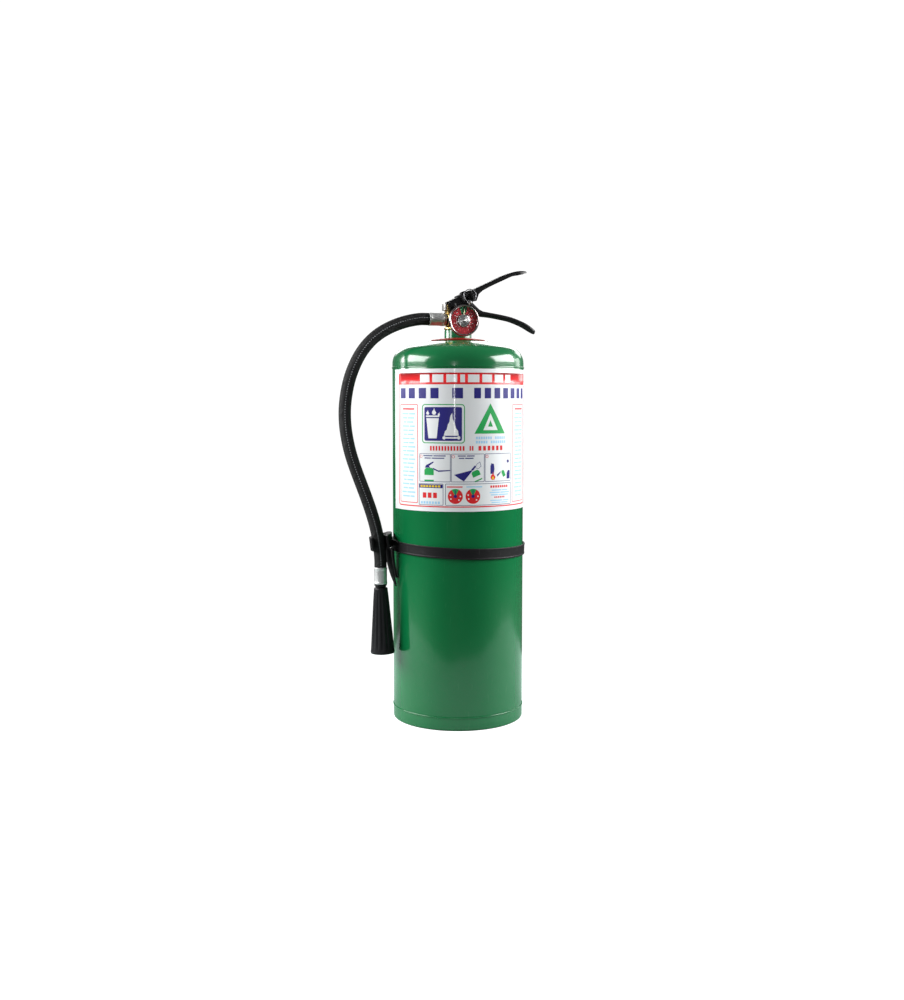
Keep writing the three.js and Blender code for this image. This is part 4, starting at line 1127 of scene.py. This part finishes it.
def make_pins():
    head = LEVER_HALF + 0.0003
    pivot = turned("pivot_rivet", [
        (0, -0.0132), (0.0022, -0.0132, 0.0006), (0.0038, -0.0124, 0.0008), (0.0038, -head), (0.0024, -head),
        (0.0024, head), (0.0038, head), (0.0038, 0.0124, 0.0008), (0.0022, 0.0132, 0.0006), (0, 0.0132),
    ], PIVOT, Y, 48)
    finished(pivot, "tank", "lever_paint", LEVER_COAT, "lever_pivot_pin")
    reach = HANDLE_HALF - 0.0001
    rivet = turned("handle_pin", [
        (0, -reach), (0.0018, -reach, 0.0003), (0.0018, reach, 0.0003), (0, reach),
    ], RIVET, Y, 32)
    finished(rivet, "tank", "lever_paint", LEVER_COAT, "handle_rivet")
    shaft = turned("safety_pin", [
        (0, -0.0130), (0.0032, -0.0130, 0.0005), (0.0032, -0.0118, 0.0003), (0.0020, -0.0118),
        (0.0020, 0.0138, 0.0008), (0, 0.0150, 0.0006),
    ], PIN_AXIS, Y, 40)
    eye_y = -0.0155
    eye_outline = [Vector((0, eye_y + 0.0028 * cos(radians(a)), PIN_AXIS.z + 0.0027 * sin(radians(a))))
                   for a in range(90, 271, 15)]
    eye_outline += [Vector((0, -0.0127, PIN_AXIS.z - 0.0027)), Vector((0, -0.0127, PIN_AXIS.z + 0.0027))]
    eye = plate("eye", [point + X * (PIN_AXIS.x - 0.0013) for point in eye_outline], (0.0026, 0, 0), 0.0004)
    hole = drill("bore", (PIN_AXIS.x, eye_y, PIN_AXIS.z), 0.00145, 0.01, X, 24)
    pin = cut(welded(shaft, eye), hole)
    finished(pin, "pin", "plain_steel", STEEL, "pull_pin")
    wire, ring_radius, turns = 0.00052, 0.0085, 1.85
    centre = Vector((PIN_AXIS.x, eye_y, PIN_AXIS.z + ring_radius))
    steps = 88
    sections = []
    for step in range(steps + 1):
        angle = 2 * pi * turns * step / steps - pi / 2 - 0.9
        out = Vector((cos(angle), 0, sin(angle)))
        drift = (step / steps - 0.5) * 2 * wire * 0.95
        size = wire * (0.45 if step in (0, steps) else 1)
        spot = centre + out * ring_radius + Y * drift
        sections.append([spot + (out * cos(2 * pi * n / 10) + Y * sin(2 * pi * n / 10)) * size
                         for n in range(10)])
    ring = lofted("split_ring", sections)
    finished(ring, "pin_ring", "plain_steel", DARK_STEEL, "pull_ring", smooth=60)


def strap_loop(name, start, width, thickness, depth):
    """A narrow strap over the lever and down both cheeks, at a distance from the pivot along the lever."""
    inside = LEVER_HALF + 0.0003
    top = 0.0072 + 0.0003
    outer = inside + thickness
    lift = top + thickness
    outline = [(-outer, -depth), (-outer, lift - 0.0012), (-outer + 0.0012, lift), (outer - 0.0012, lift),
               (outer, lift - 0.0012), (outer, -depth), (inside, -depth), (inside, top), (-inside, top),
               (-inside, -depth)]
    points = [Vector((PIVOT.x + start, y, PIVOT.z + z)) for y, z in outline]
    return plate(name, points, (width, 0, 0), 0.0003)


def make_seal():
    """Two loops, a ribbed bridge and a lock head, in the lever's own slope."""
    loops = [strap_loop("seal_loop", start, 0.0038, 0.0010, 0.0045) for start in (0.0131, 0.0273)]
    top = 0.0072 + 0.0003
    low = 0.0041          # the pin's head passes below this as the lever closes
    bridge = plate("seal_bridge", [
        Vector((PIVOT.x + x, -0.0095, PIVOT.z + z)) for x, z in (
            (0.0140, top), (0.0302, top), (0.0302, top + 0.0012), (0.0140, top + 0.0012))
    ], (0, 0.019, 0), 0.0003)
    lock = plate("seal_lock", [
        Vector((PIVOT.x + x, -0.0045, PIVOT.z + z)) for x, z in (
            (0.0190, top + 0.0006), (0.0262, top + 0.0006), (0.0258, top + 0.0026), (0.0240, top + 0.0032),
            (0.0205, top + 0.0032), (0.0194, top + 0.0022))
    ], (0, 0.009, 0), 0.0005, 3)
    ribs = [plate("seal_rib", [
        Vector((PIVOT.x + x, -LEVER_HALF - 0.0003, PIVOT.z + z)) for x, z in (
            (start, low), (start + 0.0008, low), (start + 0.0008, top), (start, top))
    ], (0, -0.0008, 0), 0.0002) for start in (0.0181, 0.0203, 0.0225, 0.0247)]
    web = plate("seal_web", [
        Vector((PIVOT.x + x, -LEVER_HALF - 0.0003, PIVOT.z + z)) for x, z in (
            (0.0160, low), (0.0280, low), (0.0280, top), (0.0160, top))
    ], (0, -0.0005, 0), 0.0002)
    seal = joined("seal_strap", [*loops, bridge, lock, web, *ribs])
    swung(seal, -LEVER_SLOPE, PIVOT)
    finished(seal, "lever", "black_plastic", PLASTIC, "tamper_seal")


# ------------------------------------------------------------ gauge
def make_gauge():
    """Heights inside the gauge count from the back of its case, towards the front."""
    seat = Vector((GAUGE_CENTRE.x, GAUGE_BACK_Y, GAUGE_CENTRE.z))
    stem = turned("gauge_thread", [
        (0, -0.0102), (0.0040, -0.0102, 0.0004), (0.0040, -0.0060), (0.0060, -0.0060, 0.0004),
        (0.0060, -0.0003, 0.0004), (0.0040, -0.0003), (0.0040, 0.0015), (0, 0.0015),
    ], seat, FRONT, 6)
    finished(stem, "tank", "valve_brass", BRASS, "gauge_stem")
    wall = 0.0196
    case = turned("gauge_cup", [
        (0.0043, 0), (wall, 0, 0.0018), (wall, 0.0068), (wall - 0.0008, 0.0068),
        (wall - 0.0008, 0.0012, 0.0012), (0.0043, 0.0010), (0.0043, 0),
    ], seat, FRONT, 96)
    finished(case, "tank", "gauge_metal", CHROME, "gauge_case")
    bezel = turned("gauge_rim", [
        (wall + 0.0002, 0.0036), (0.0210, 0.0036, 0.0004), (0.0210, 0.0080, 0.0012), (0.0202, 0.0094, 0.0008),
        (0.0193, 0.0094, 0.0006), (0.0184, 0.0086, 0.0004), (0.0184, 0.0082), (0.0200, 0.0082),
        (0.0200, 0.0050), (wall + 0.0002, 0.0046), (wall + 0.0002, 0.0036),
    ], seat, FRONT, 128)
    finished(bezel, "tank", "gauge_metal", CHROME, "gauge_bezel")
    dome = [(0.0198 * step / 8, 0.0083 - 0.0004 * (step / 8) ** 2) for step in range(9)]
    lens = turned("gauge_window", [
        (0, 0.0071), (0.0198, 0.0071), *dome[::-1],
    ], seat, FRONT, 96)
    finished(lens, "tank", "gauge_glass", GLASS, "gauge_lens", smooth=30)
    lens.visible_shadow = False
    dial = turned("dial_face", [
        (0.0012, 0.0041), (0.0192, 0.0041), (0.0192, 0.0046), (0.0012, 0.0046), (0.0012, 0.0041),
    ], seat, FRONT, 96)
    finished(dial, "tank", "dial_print", DIAL_RED, "gauge_dial")
    face_y = seat.y - 0.0046

    def mark(outline, thickness=0.00008, lift=0.0):
        points = [Vector((seat.x + x, face_y - lift, seat.z + z)) for x, z in outline]
        return plate("mark", points, (0, -thickness, 0))

    wedge = [(0.0075 * sin(radians(a)), 0.0075 * cos(radians(a))) for a in (-16, 0, 16)]
    wedge += [(0.0184 * sin(radians(a)), 0.0184 * cos(radians(a))) for a in range(18, -19, -6)]
    green = mark(wedge)
    finished(green, "tank", "dial_print", DIAL_GREEN)
    ticks = []
    for angle in (-150, -128, -106, -84, -62, -40, 40, 62, 84, 106, 128, 150):
        a = radians(angle)
        long = angle in (-106, -62, 62, 106)
        near, far, half = (0.0118 if long else 0.0128), 0.0142, 0.0003 if long else 0.0002
        out, side = Vector((sin(a), cos(a))), Vector((cos(a), -sin(a))) * half
        ticks.append(mark([out * near - side, out * far - side, out * far + side, out * near + side]))
    for start, end in ((-152, -38), (38, 152)):
        steps = 20
        arc = [start + (end - start) * step / steps for step in range(steps + 1)]
        band = [(0.0102 * sin(radians(a)), 0.0102 * cos(radians(a))) for a in arc]
        band += [(0.0099 * sin(radians(a)), 0.0099 * cos(radians(a))) for a in reversed(arc)]
        ticks.append(mark(band))
    scale = joined("dial_marks", ticks)
    finished(scale, "tank", "dial_print", DIAL_WHITE)
    points = [(-0.0009, -0.003), (0.0009, -0.003), (0.0006, 0.010), (0.0002, 0.0160), (-0.0002, 0.0160),
              (-0.0006, 0.010)]
    pointer = plate("pointer", [Vector((seat.x + x, seat.y - 0.0052, seat.z + z)) for x, z in points],
                    (0, -0.00035, 0), 0.00008)
    swung(pointer, 0.06, seat)
    finished(pointer, "needle", "needle_enamel", NEEDLE, "gauge_needle")
    hub = turned("pointer_disc", [
        (0, 0.00585), (0.0084, 0.00585, 0.0001), (0.0084, 0.0060, 0.0001), (0.0078, 0.0062, 0.0004),
        (0.0012, 0.0066, 0.0003), (0.0011, 0.0069, 0.0001), (0, 0.0070),
    ], seat, FRONT, 96)
    finished(hub, "needle", "gauge_metal", SPUN_DISC, "needle_hub")


# ------------------------------------------------------------ hose and nozzle
def across(direction):
    side = direction.cross(Y).normalized()
    return side, side.cross(direction).normalized()


def make_hose():
    line = smooth_line(HOSE_ROUTE, 8)
    sides, radius = 24, HOSE_DIAMETER / 2
    sections = []
    for index, spot in enumerate(line):
        ahead = line[min(index + 1, len(line) - 1)] - line[max(index - 1, 0)]
        side, up = across(ahead.normalized())
        sections.append([spot + (side * cos(2 * pi * n / sides) + up * sin(2 * pi * n / sides)) * radius
                         for n in range(sides)])
    tube = lofted("hose_line", sections)
    travelled = [0.0]
    for start, end in zip(line, line[1:]):
        travelled.append(travelled[-1] + (end - start).length)
    layer = tube.data.uv_layers.new(name="round_and_along")
    frames = [across((line[min(i + 1, len(line) - 1)] - line[max(i - 1, 0)]).normalized())
              for i in range(len(line))]
    for face in tube.data.polygons:
        rows = []
        for loop in face.loop_indices:
            place = tube.data.vertices[tube.data.loops[loop].vertex_index].co
            nearest = min(range(len(line)), key=lambda i: (line[i] - place).length_squared)
            side, up = frames[nearest]
            reach = place - line[nearest]
            turn = (atan2(reach.dot(up), reach.dot(side)) / (2 * pi)) % 1.0
            rows.append((loop, turn, travelled[nearest]))
        if max(row[1] for row in rows) - min(row[1] for row in rows) > 0.5:
            rows = [(loop, turn + 1 if turn < 0.5 else turn, run) for loop, turn, run in rows]
        for loop, turn, run in rows:
            layer.data[loop].uv = (turn, run)
    finished(tube, "hose_line", "hose_rubber", HOSE_RUBBER, "hose", smooth=60)
    return tube, line


def crimped(name, centre, axis, start, end):
    """A ferrule with rolled ends and a slightly narrower middle."""
    radius = 0.0088
    profile = eased([
        (radius - 0.0005, 0.0, 0.0004), (radius + 0.0001, 0.0, 0.0004), (radius + 0.0001, 0.0022, 0.0005),
        (radius - 0.0002, 0.0032, 0.0006), (radius - 0.0002, (end - start) - 0.0032, 0.0006),
        (radius + 0.0001, (end - start) - 0.0022, 0.0005), (radius + 0.0001, end - start, 0.0004),
        (radius - 0.0005, end - start, 0.0004),
    ])
    bore = 0.0048
    sleeve = turned(name, [(bore, start), *[(p.x, start + p.y) for p in profile], (bore, end), (bore, start)],
                    centre, axis, 96)
    return sleeve


def make_hose_ends():
    along = Vector((0, 0, OUTLET_Z))
    corner = 0.0100
    hexagon = [Vector((-0.0220, corner * cos(pi / 3 * n), OUTLET_Z + corner * sin(pi / 3 * n)))
               for n in range(6)]
    nut = plate("hex_body", hexagon, (0.0038, 0, 0), 0.0005, 3)
    tail = turned("tail", [
        (0.0028, -0.0375), (0.0044, -0.0375, 0.0004), (0.0044, -0.0215), (0.0050, -0.0190),
        (0.0050, -0.0104, 0.0004), (0.0028, -0.0104), (0.0028, -0.0375),
    ], along, X, 40)
    washer_face = turned("washer_face", [
        (0.0028, -0.0224), (0.0084, -0.0224, 0.0002), (0.0088, -0.0219), (0.0088, -0.0182), (0.0028, -0.0182),
        (0.0028, -0.0224),
    ], along, X, 64)
    coupling = welded(nut, tail, washer_face)
    coupling.name = "swivel_coupling"
    finished(coupling, "hose_line", "nickel_plate", NICKEL, "hose_coupling", smooth=30)
    upper = crimped("ferrule_upper", along, X, -0.0413, -0.0226)
    finished(upper, "hose_line", "ferrule_metal", FERRULE_UPPER, "upper_ferrule", smooth=30)
    foot = Vector((NOZZLE_TOP.x, NOZZLE_TOP.y, 0))
    lower = crimped("ferrule_lower", foot, Z, 0.1899, 0.2121)
    finished(lower, "hose_line", "ferrule_metal", FERRULE_LOWER, "lower_ferrule", smooth=30)
    return coupling, upper, lower


def make_nozzle():
    adapter = turned("nozzle_collar", [
        (0.0026, 0.0155), (0.0043, 0.0155), (0.0043, -0.0002), (0.0086, -0.0002, 0.0005),
        (0.0086, -0.0018, 0.0005), (0.0072, -0.0026, 0.0004), (0.0076, -0.0034, 0.0004),
        (0.0064, -0.0044, 0.0004), (0.0064, -0.0118),
        (0.0026, -0.0118), (0.0026, 0.0155),
    ], NOZZLE_TOP, Z, 64)
    swung(adapter, NOZZLE_LEAN, NOZZLE_TOP)
    finished(adapter, "hose_line", "black_plastic", PLASTIC, "nozzle_adapter", smooth=30)
    flutes, sides = 14, 140
    outside = [
        (0.0088, -0.0052, 0.0), (0.0092, -0.0060, 0.0), (0.0093, -0.0078, 0.0), (0.0094, -0.0092, 0.0),
        (0.0098, -0.0125, 0.55), (0.0108, -0.0240, 1.0), (0.0124, -0.0450, 1.0), (0.0140, -0.0650, 1.0),
        (0.0151, -0.0800, 1.0), (0.0156, -0.0865, 0.5), (0.0159, -0.0895, 0.0), (0.0162, -0.0908, 0.0),
        (0.0162, -0.0926, 0.0), (0.0158, -0.0936, 0.0), (0.0152, -0.0938, 0.0), (0.0144, -0.0935, 0.0),
        (0.0136, -0.0910, 0.0), (0.0080, -0.0300, 0.0), (0.0050, -0.0180, 0.0), (0.0050, -0.0123, 0.0),
        (0.0070, -0.0123, 0.0), (0.0070, -0.0052, 0.0),
    ]
    sections = []
    for radius, height, depth in outside:
        section = []
        for n in range(sides):
            angle = 2 * pi * n / sides
            wave = (0.5 - 0.5 * cos(flutes * angle)) ** 0.7
            reach = radius - 0.0009 * depth * (1 - wave)
            section.append(NOZZLE_TOP + Vector((reach * cos(angle), reach * sin(angle), height)))
        sections.append(section)
    sections.append(sections[0])
    nozzle = lofted("fluted_nozzle", sections, caps=False)
    swung(nozzle, NOZZLE_LEAN, NOZZLE_TOP)
    finished(nozzle, "hose_line", "nozzle_plastic", NOZZLE_PLASTIC, "nozzle", smooth=35)
    return adapter, nozzle


# ------------------------------------------------------------ strap and clip
def make_strap():
    inner, outer, half = STRAP_INNER, STRAP_INNER + STRAP_THICKNESS, STRAP_HALF
    band = turned("holding_strap", [
        (inner, -half, 0.0003), (outer, -half, 0.0007), (outer + 0.0001, -half + 0.0016, 0.0004),
        (outer - 0.0003, -half + 0.0022, 0.0006), (outer - 0.0003, half - 0.0022, 0.0006),
        (outer + 0.0001, half - 0.0016, 0.0004), (outer, half, 0.0007), (inner, half, 0.0003), (inner, -half),
    ], (0, 0, STRAP_Z), steps=160)
    swung(band, STRAP_TILT, (0, 0, STRAP_Z))
    swung(band, STRAP_DIP, (0, 0, STRAP_Z), "X")
    finished(band, "tank", "strap_rubber", STRAP_RUBBER, "strap_band")
    face = turned("face", [(0, 0.18), (outer + 0.0003, 0.18), (outer + 0.0003, 0.30), (0, 0.30)], steps=160)
    buckle = plate("strap_buckle", in_xz([
        (-0.1020, 0.2390), (-0.0830, 0.2390), (-0.0830, 0.2540), (-0.1020, 0.2540),
    ], 0.0205), (0, 0.0115, 0), 0.0012, 3)
    slot = plate("slot", in_xz([
        (-0.0986, 0.2420), (-0.0906, 0.2420), (-0.0906, 0.2510), (-0.0986, 0.2510),
    ], 0.018), (0, 0.017, 0), 0.0006, 2)
    tab = plate("grip_tab", in_xz([
        (-0.1075, 0.2428), (-0.1062, 0.2415), (-0.1010, 0.2415), (-0.1010, 0.2515), (-0.1062, 0.2515),
        (-0.1075, 0.2502),
    ], 0.024), (0, 0.0045, 0), 0.0008, 3)
    buckle = welded(buckle, tab)
    cut(buckle, face, slot)
    buckle.name = "strap_buckle"
    finished(buckle, "tank", "black_plastic", PLASTIC, "strap_keeper")

    def tail(name, points, middles, widths, node):
        """A hanging end of strap: its points, and at each the middle and width across it."""
        flat = Vector((-0.25, 0.97, 0)).normalized()
        edge_on = Vector((flat.y, -flat.x, 0))
        line = smooth_line([Vector((x, y, z)) for (x, z), y in zip(points, middles)], 5)
        spans = smooth_line([Vector((width, 0, 0)) for width in widths], 5)
        sections = []
        for spot, span in zip(line, spans):
            half = span.x / 2
            sections.append([spot + flat * y + edge_on * x for x, y in (
                (-0.00075, -half), (0.00075, -half), (0.00075, half), (-0.00075, half))])
        strip = lofted(name, sections)
        rounded(strip, 0.0004, 2)
        finished(strip, "tank", "strap_rubber", STRAP_RUBBER, node)

    tail("tail_long", [(-0.1017, 0.2370), (-0.1003, 0.2220), (-0.0963, 0.2030), (-0.0915, 0.1860)],
         [-0.0090, -0.0095, -0.0105, -0.0120], [0.0140, 0.0140, 0.0110, 0.0035], "strap_tail_outer")
    tail("tail_short", [(-0.0951, 0.2370), (-0.0943, 0.2220), (-0.0917, 0.2040), (-0.0903, 0.1970)],
         [-0.0060, -0.0060, -0.0065, -0.0070], [0.0100, 0.0100, 0.0090, 0.0060], "strap_tail_inner")


def make_clip():
    """A U-shaped jaw, open to the front, on a base that follows the strap."""
    centre = Vector((-0.1146, -0.0095))
    inside, wall = HOSE_DIAMETER / 2 + 0.0008, 0.0028
    low, high = 0.2364, 0.2544
    outer = inside + wall
    mouth = centre.y - 0.0115
    outline = [(centre.x - outer, mouth)]
    outline += [(centre.x + outer * cos(radians(a)), centre.y + outer * sin(radians(a)))
                for a in range(180, -1, -12)]
    outline += [(-0.0990, 0.0160), (-0.0925, 0.0190), (-0.0885, 0.0120), (-0.0925, 0.0020),
                (-0.0975, -0.0085), (centre.x + outer, -0.0135), (centre.x + outer, mouth),
                (centre.x + inside, mouth)]
    outline += [(centre.x + inside * cos(radians(a)), centre.y + inside * sin(radians(a)))
                for a in range(0, 181, 12)]
    outline += [(centre.x - inside, mouth)]
    jaw = plate("hose_jaw", [Vector((x, y, low)) for x, y in outline], (0, 0, high - low), 0.0006, 3)
    swung(jaw, -radians(7), (centre.x, 0, (low + high) / 2))
    reach = STRAP_INNER + STRAP_THICKNESS + 0.0005
    face = turned("face", [(0, 0.18), (reach, 0.18), (reach, 0.30), (0, 0.30)], steps=160)
    cut(jaw, face)
    finished(jaw, "tank", "black_plastic", PLASTIC, "hose_clip")
    return jaw


# ------------------------------------------------------------ inner pieces that keep their own solids
def finish_inner_pieces():
    inner = {
        "neck_o_ring": SEAL_RUBBER, "stem_o_ring": SEAL_RUBBER, "seat_washer": SEAL_RUBBER,
        "coupling_gasket": SEAL_RUBBER, "valve_stem": STEEL, "stem_spring": STEEL,
        "siphon_nut": BRASS_TURNED, "siphon_tube": PLASTIC, "bourdon_tube": BRASS_TURNED,
        "gauge_spindle": BRASS_TURNED, "nozzle_orifice": BRASS_TURNED,
    }
    for node, material in inner.items():
        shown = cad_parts[node]
        shown.data.materials.clear()
        shown.data.materials.append(material)


# ------------------------------------------------------------ studio
def softbox(name, side, height, distance, size, power, aim=(0, 0, 0.3), colour=(1, 1, 1)):
    """A light panel. Side is the angle round the object from the camera, to the right."""
    round_angle = radians(side) - CAMERA_HEADING
    rise = radians(height)
    aim = Vector(aim)
    direction = Vector((sin(round_angle) * cos(rise), -cos(round_angle) * cos(rise), sin(rise)))
    bpy.ops.object.light_add(type="AREA", location=aim + direction * distance)
    lamp = bpy.context.object
    lamp.name = name
    lamp.rotation_euler = direction.to_track_quat("Z", "Y").to_euler()
    lamp.data.shape = "RECTANGLE"
    lamp.data.size, lamp.data.size_y = size
    lamp.data.energy = power
    lamp.data.color = colour
    return lamp


def make_floor():
    """White paper under the object, on a floor whose colour darkens outside the lights: painted shade, the
    lamps' pool of light painted onto the floor.

    It looks white from anywhere.
    """
    bpy.ops.mesh.primitive_circle_add(vertices=96, radius=12, fill_type="NGON", location=(0, 0, 0))
    floor = bpy.context.object
    floor.name = "studio_floor"
    finish = Finish("pale floor", (0.34, 0.42, 0.40))
    tree = finish.tree
    finish.grained(40.0, (0.6, 0.7), 0.00001)
    facing = tree.nodes.new("ShaderNodeMapping")
    facing.vector_type = "TEXTURE"
    facing.inputs["Rotation"].default_value = (0, 0, -CAMERA_HEADING)
    facing.inputs["Scale"].default_value = (1.0, 0.5, 1.0)
    tree.links.new(finish.place(), facing.inputs["Vector"])
    distance = tree.nodes.new("ShaderNodeVectorMath")
    distance.operation = "LENGTH"
    tree.links.new(facing.outputs["Vector"], distance.inputs[0])
    # Painted shade: beyond a wavy line some way out, the floor's colour falls to near-black, a painted edge
    # to the lamps' pool of light.
    painted_pool_edge_noise = noise(tree, 3.0, 2.0, 0.5, finish.place())
    waver = math_node(tree, "MULTIPLY", painted_pool_edge_noise.outputs["Fac"], 0.3)
    edge = math_node(tree, "ADD", distance.outputs["Value"], waver)
    finish.tint(ranged(tree, edge, 0.88, 0.98), (0.03, 0.03, 0.03))
    seen = tree.nodes.new("ShaderNodeLightPath")
    finish.set(Emission_Color=(1, 1, 1, 1))
    finish.feed("Emission Strength", math_node(tree, "MULTIPLY", seen.outputs["Is Camera Ray"], 1.0))
    floor.data.materials.append(finish.material)


def make_world():
    world = bpy.data.worlds.new("studio")
    world.use_nodes = True
    bpy.context.scene.world = world
    tree = world.node_tree
    background = tree.nodes["Background"]
    background.inputs["Color"].default_value = (0.95, 0.98, 1, 1)
    background.inputs["Strength"].default_value = 0.15
    backdrop = tree.nodes.new("ShaderNodeBackground")
    backdrop.inputs["Color"].default_value = (1, 1, 1, 1)
    backdrop.inputs["Strength"].default_value = 1.05
    seen = tree.nodes.new("ShaderNodeLightPath")
    mix = tree.nodes.new("ShaderNodeMixShader")
    tree.links.new(seen.outputs["Is Camera Ray"], mix.inputs["Fac"])
    tree.links.new(background.outputs["Background"], mix.inputs[1])
    tree.links.new(backdrop.outputs["Background"], mix.inputs[2])
    tree.links.new(mix.outputs["Shader"], tree.nodes["World Output"].inputs["Surface"])


def make_studio():
    make_floor()
    make_world()
    softbox("window_left", -86, 23, 1.5, (1.6, 0.75), 51, aim=(0, 0, 0.36))
    softbox("window_right", 90, 23, 1.5, (1.3, 0.75), 43, aim=(0, 0, 0.36))
    softbox("wash_left", -104, 9, 1.4, (0.55, 0.34), 2.5, aim=(0, 0, 0.42))
    softbox("wash_right", 125, 9, 1.4, (0.4, 0.34), 1.5, aim=(0, 0, 0.42))
    softbox("slim_strip", -6, 0.5, 1.5, (0.03, 0.16), 0.8, aim=(0, 0, 0.425))
    softbox("back_light", 174, 24, 1.8, (1.9, 0.4), 8)
    bpy.context.scene.view_settings.view_transform = "Standard"


add_camera()
hose_tube, hose_line = make_hose()
coupling, ferrule_upper, ferrule_lower = make_hose_ends()
nozzle_collar, nozzle_body = make_nozzle()
hose_jaw = make_clip()
make_tank()
make_neck()
make_label()
make_valve()
make_lever()
make_handle()
make_pins()
make_seal()
make_gauge()
make_strap()
finish_inner_pieces()
make_studio()
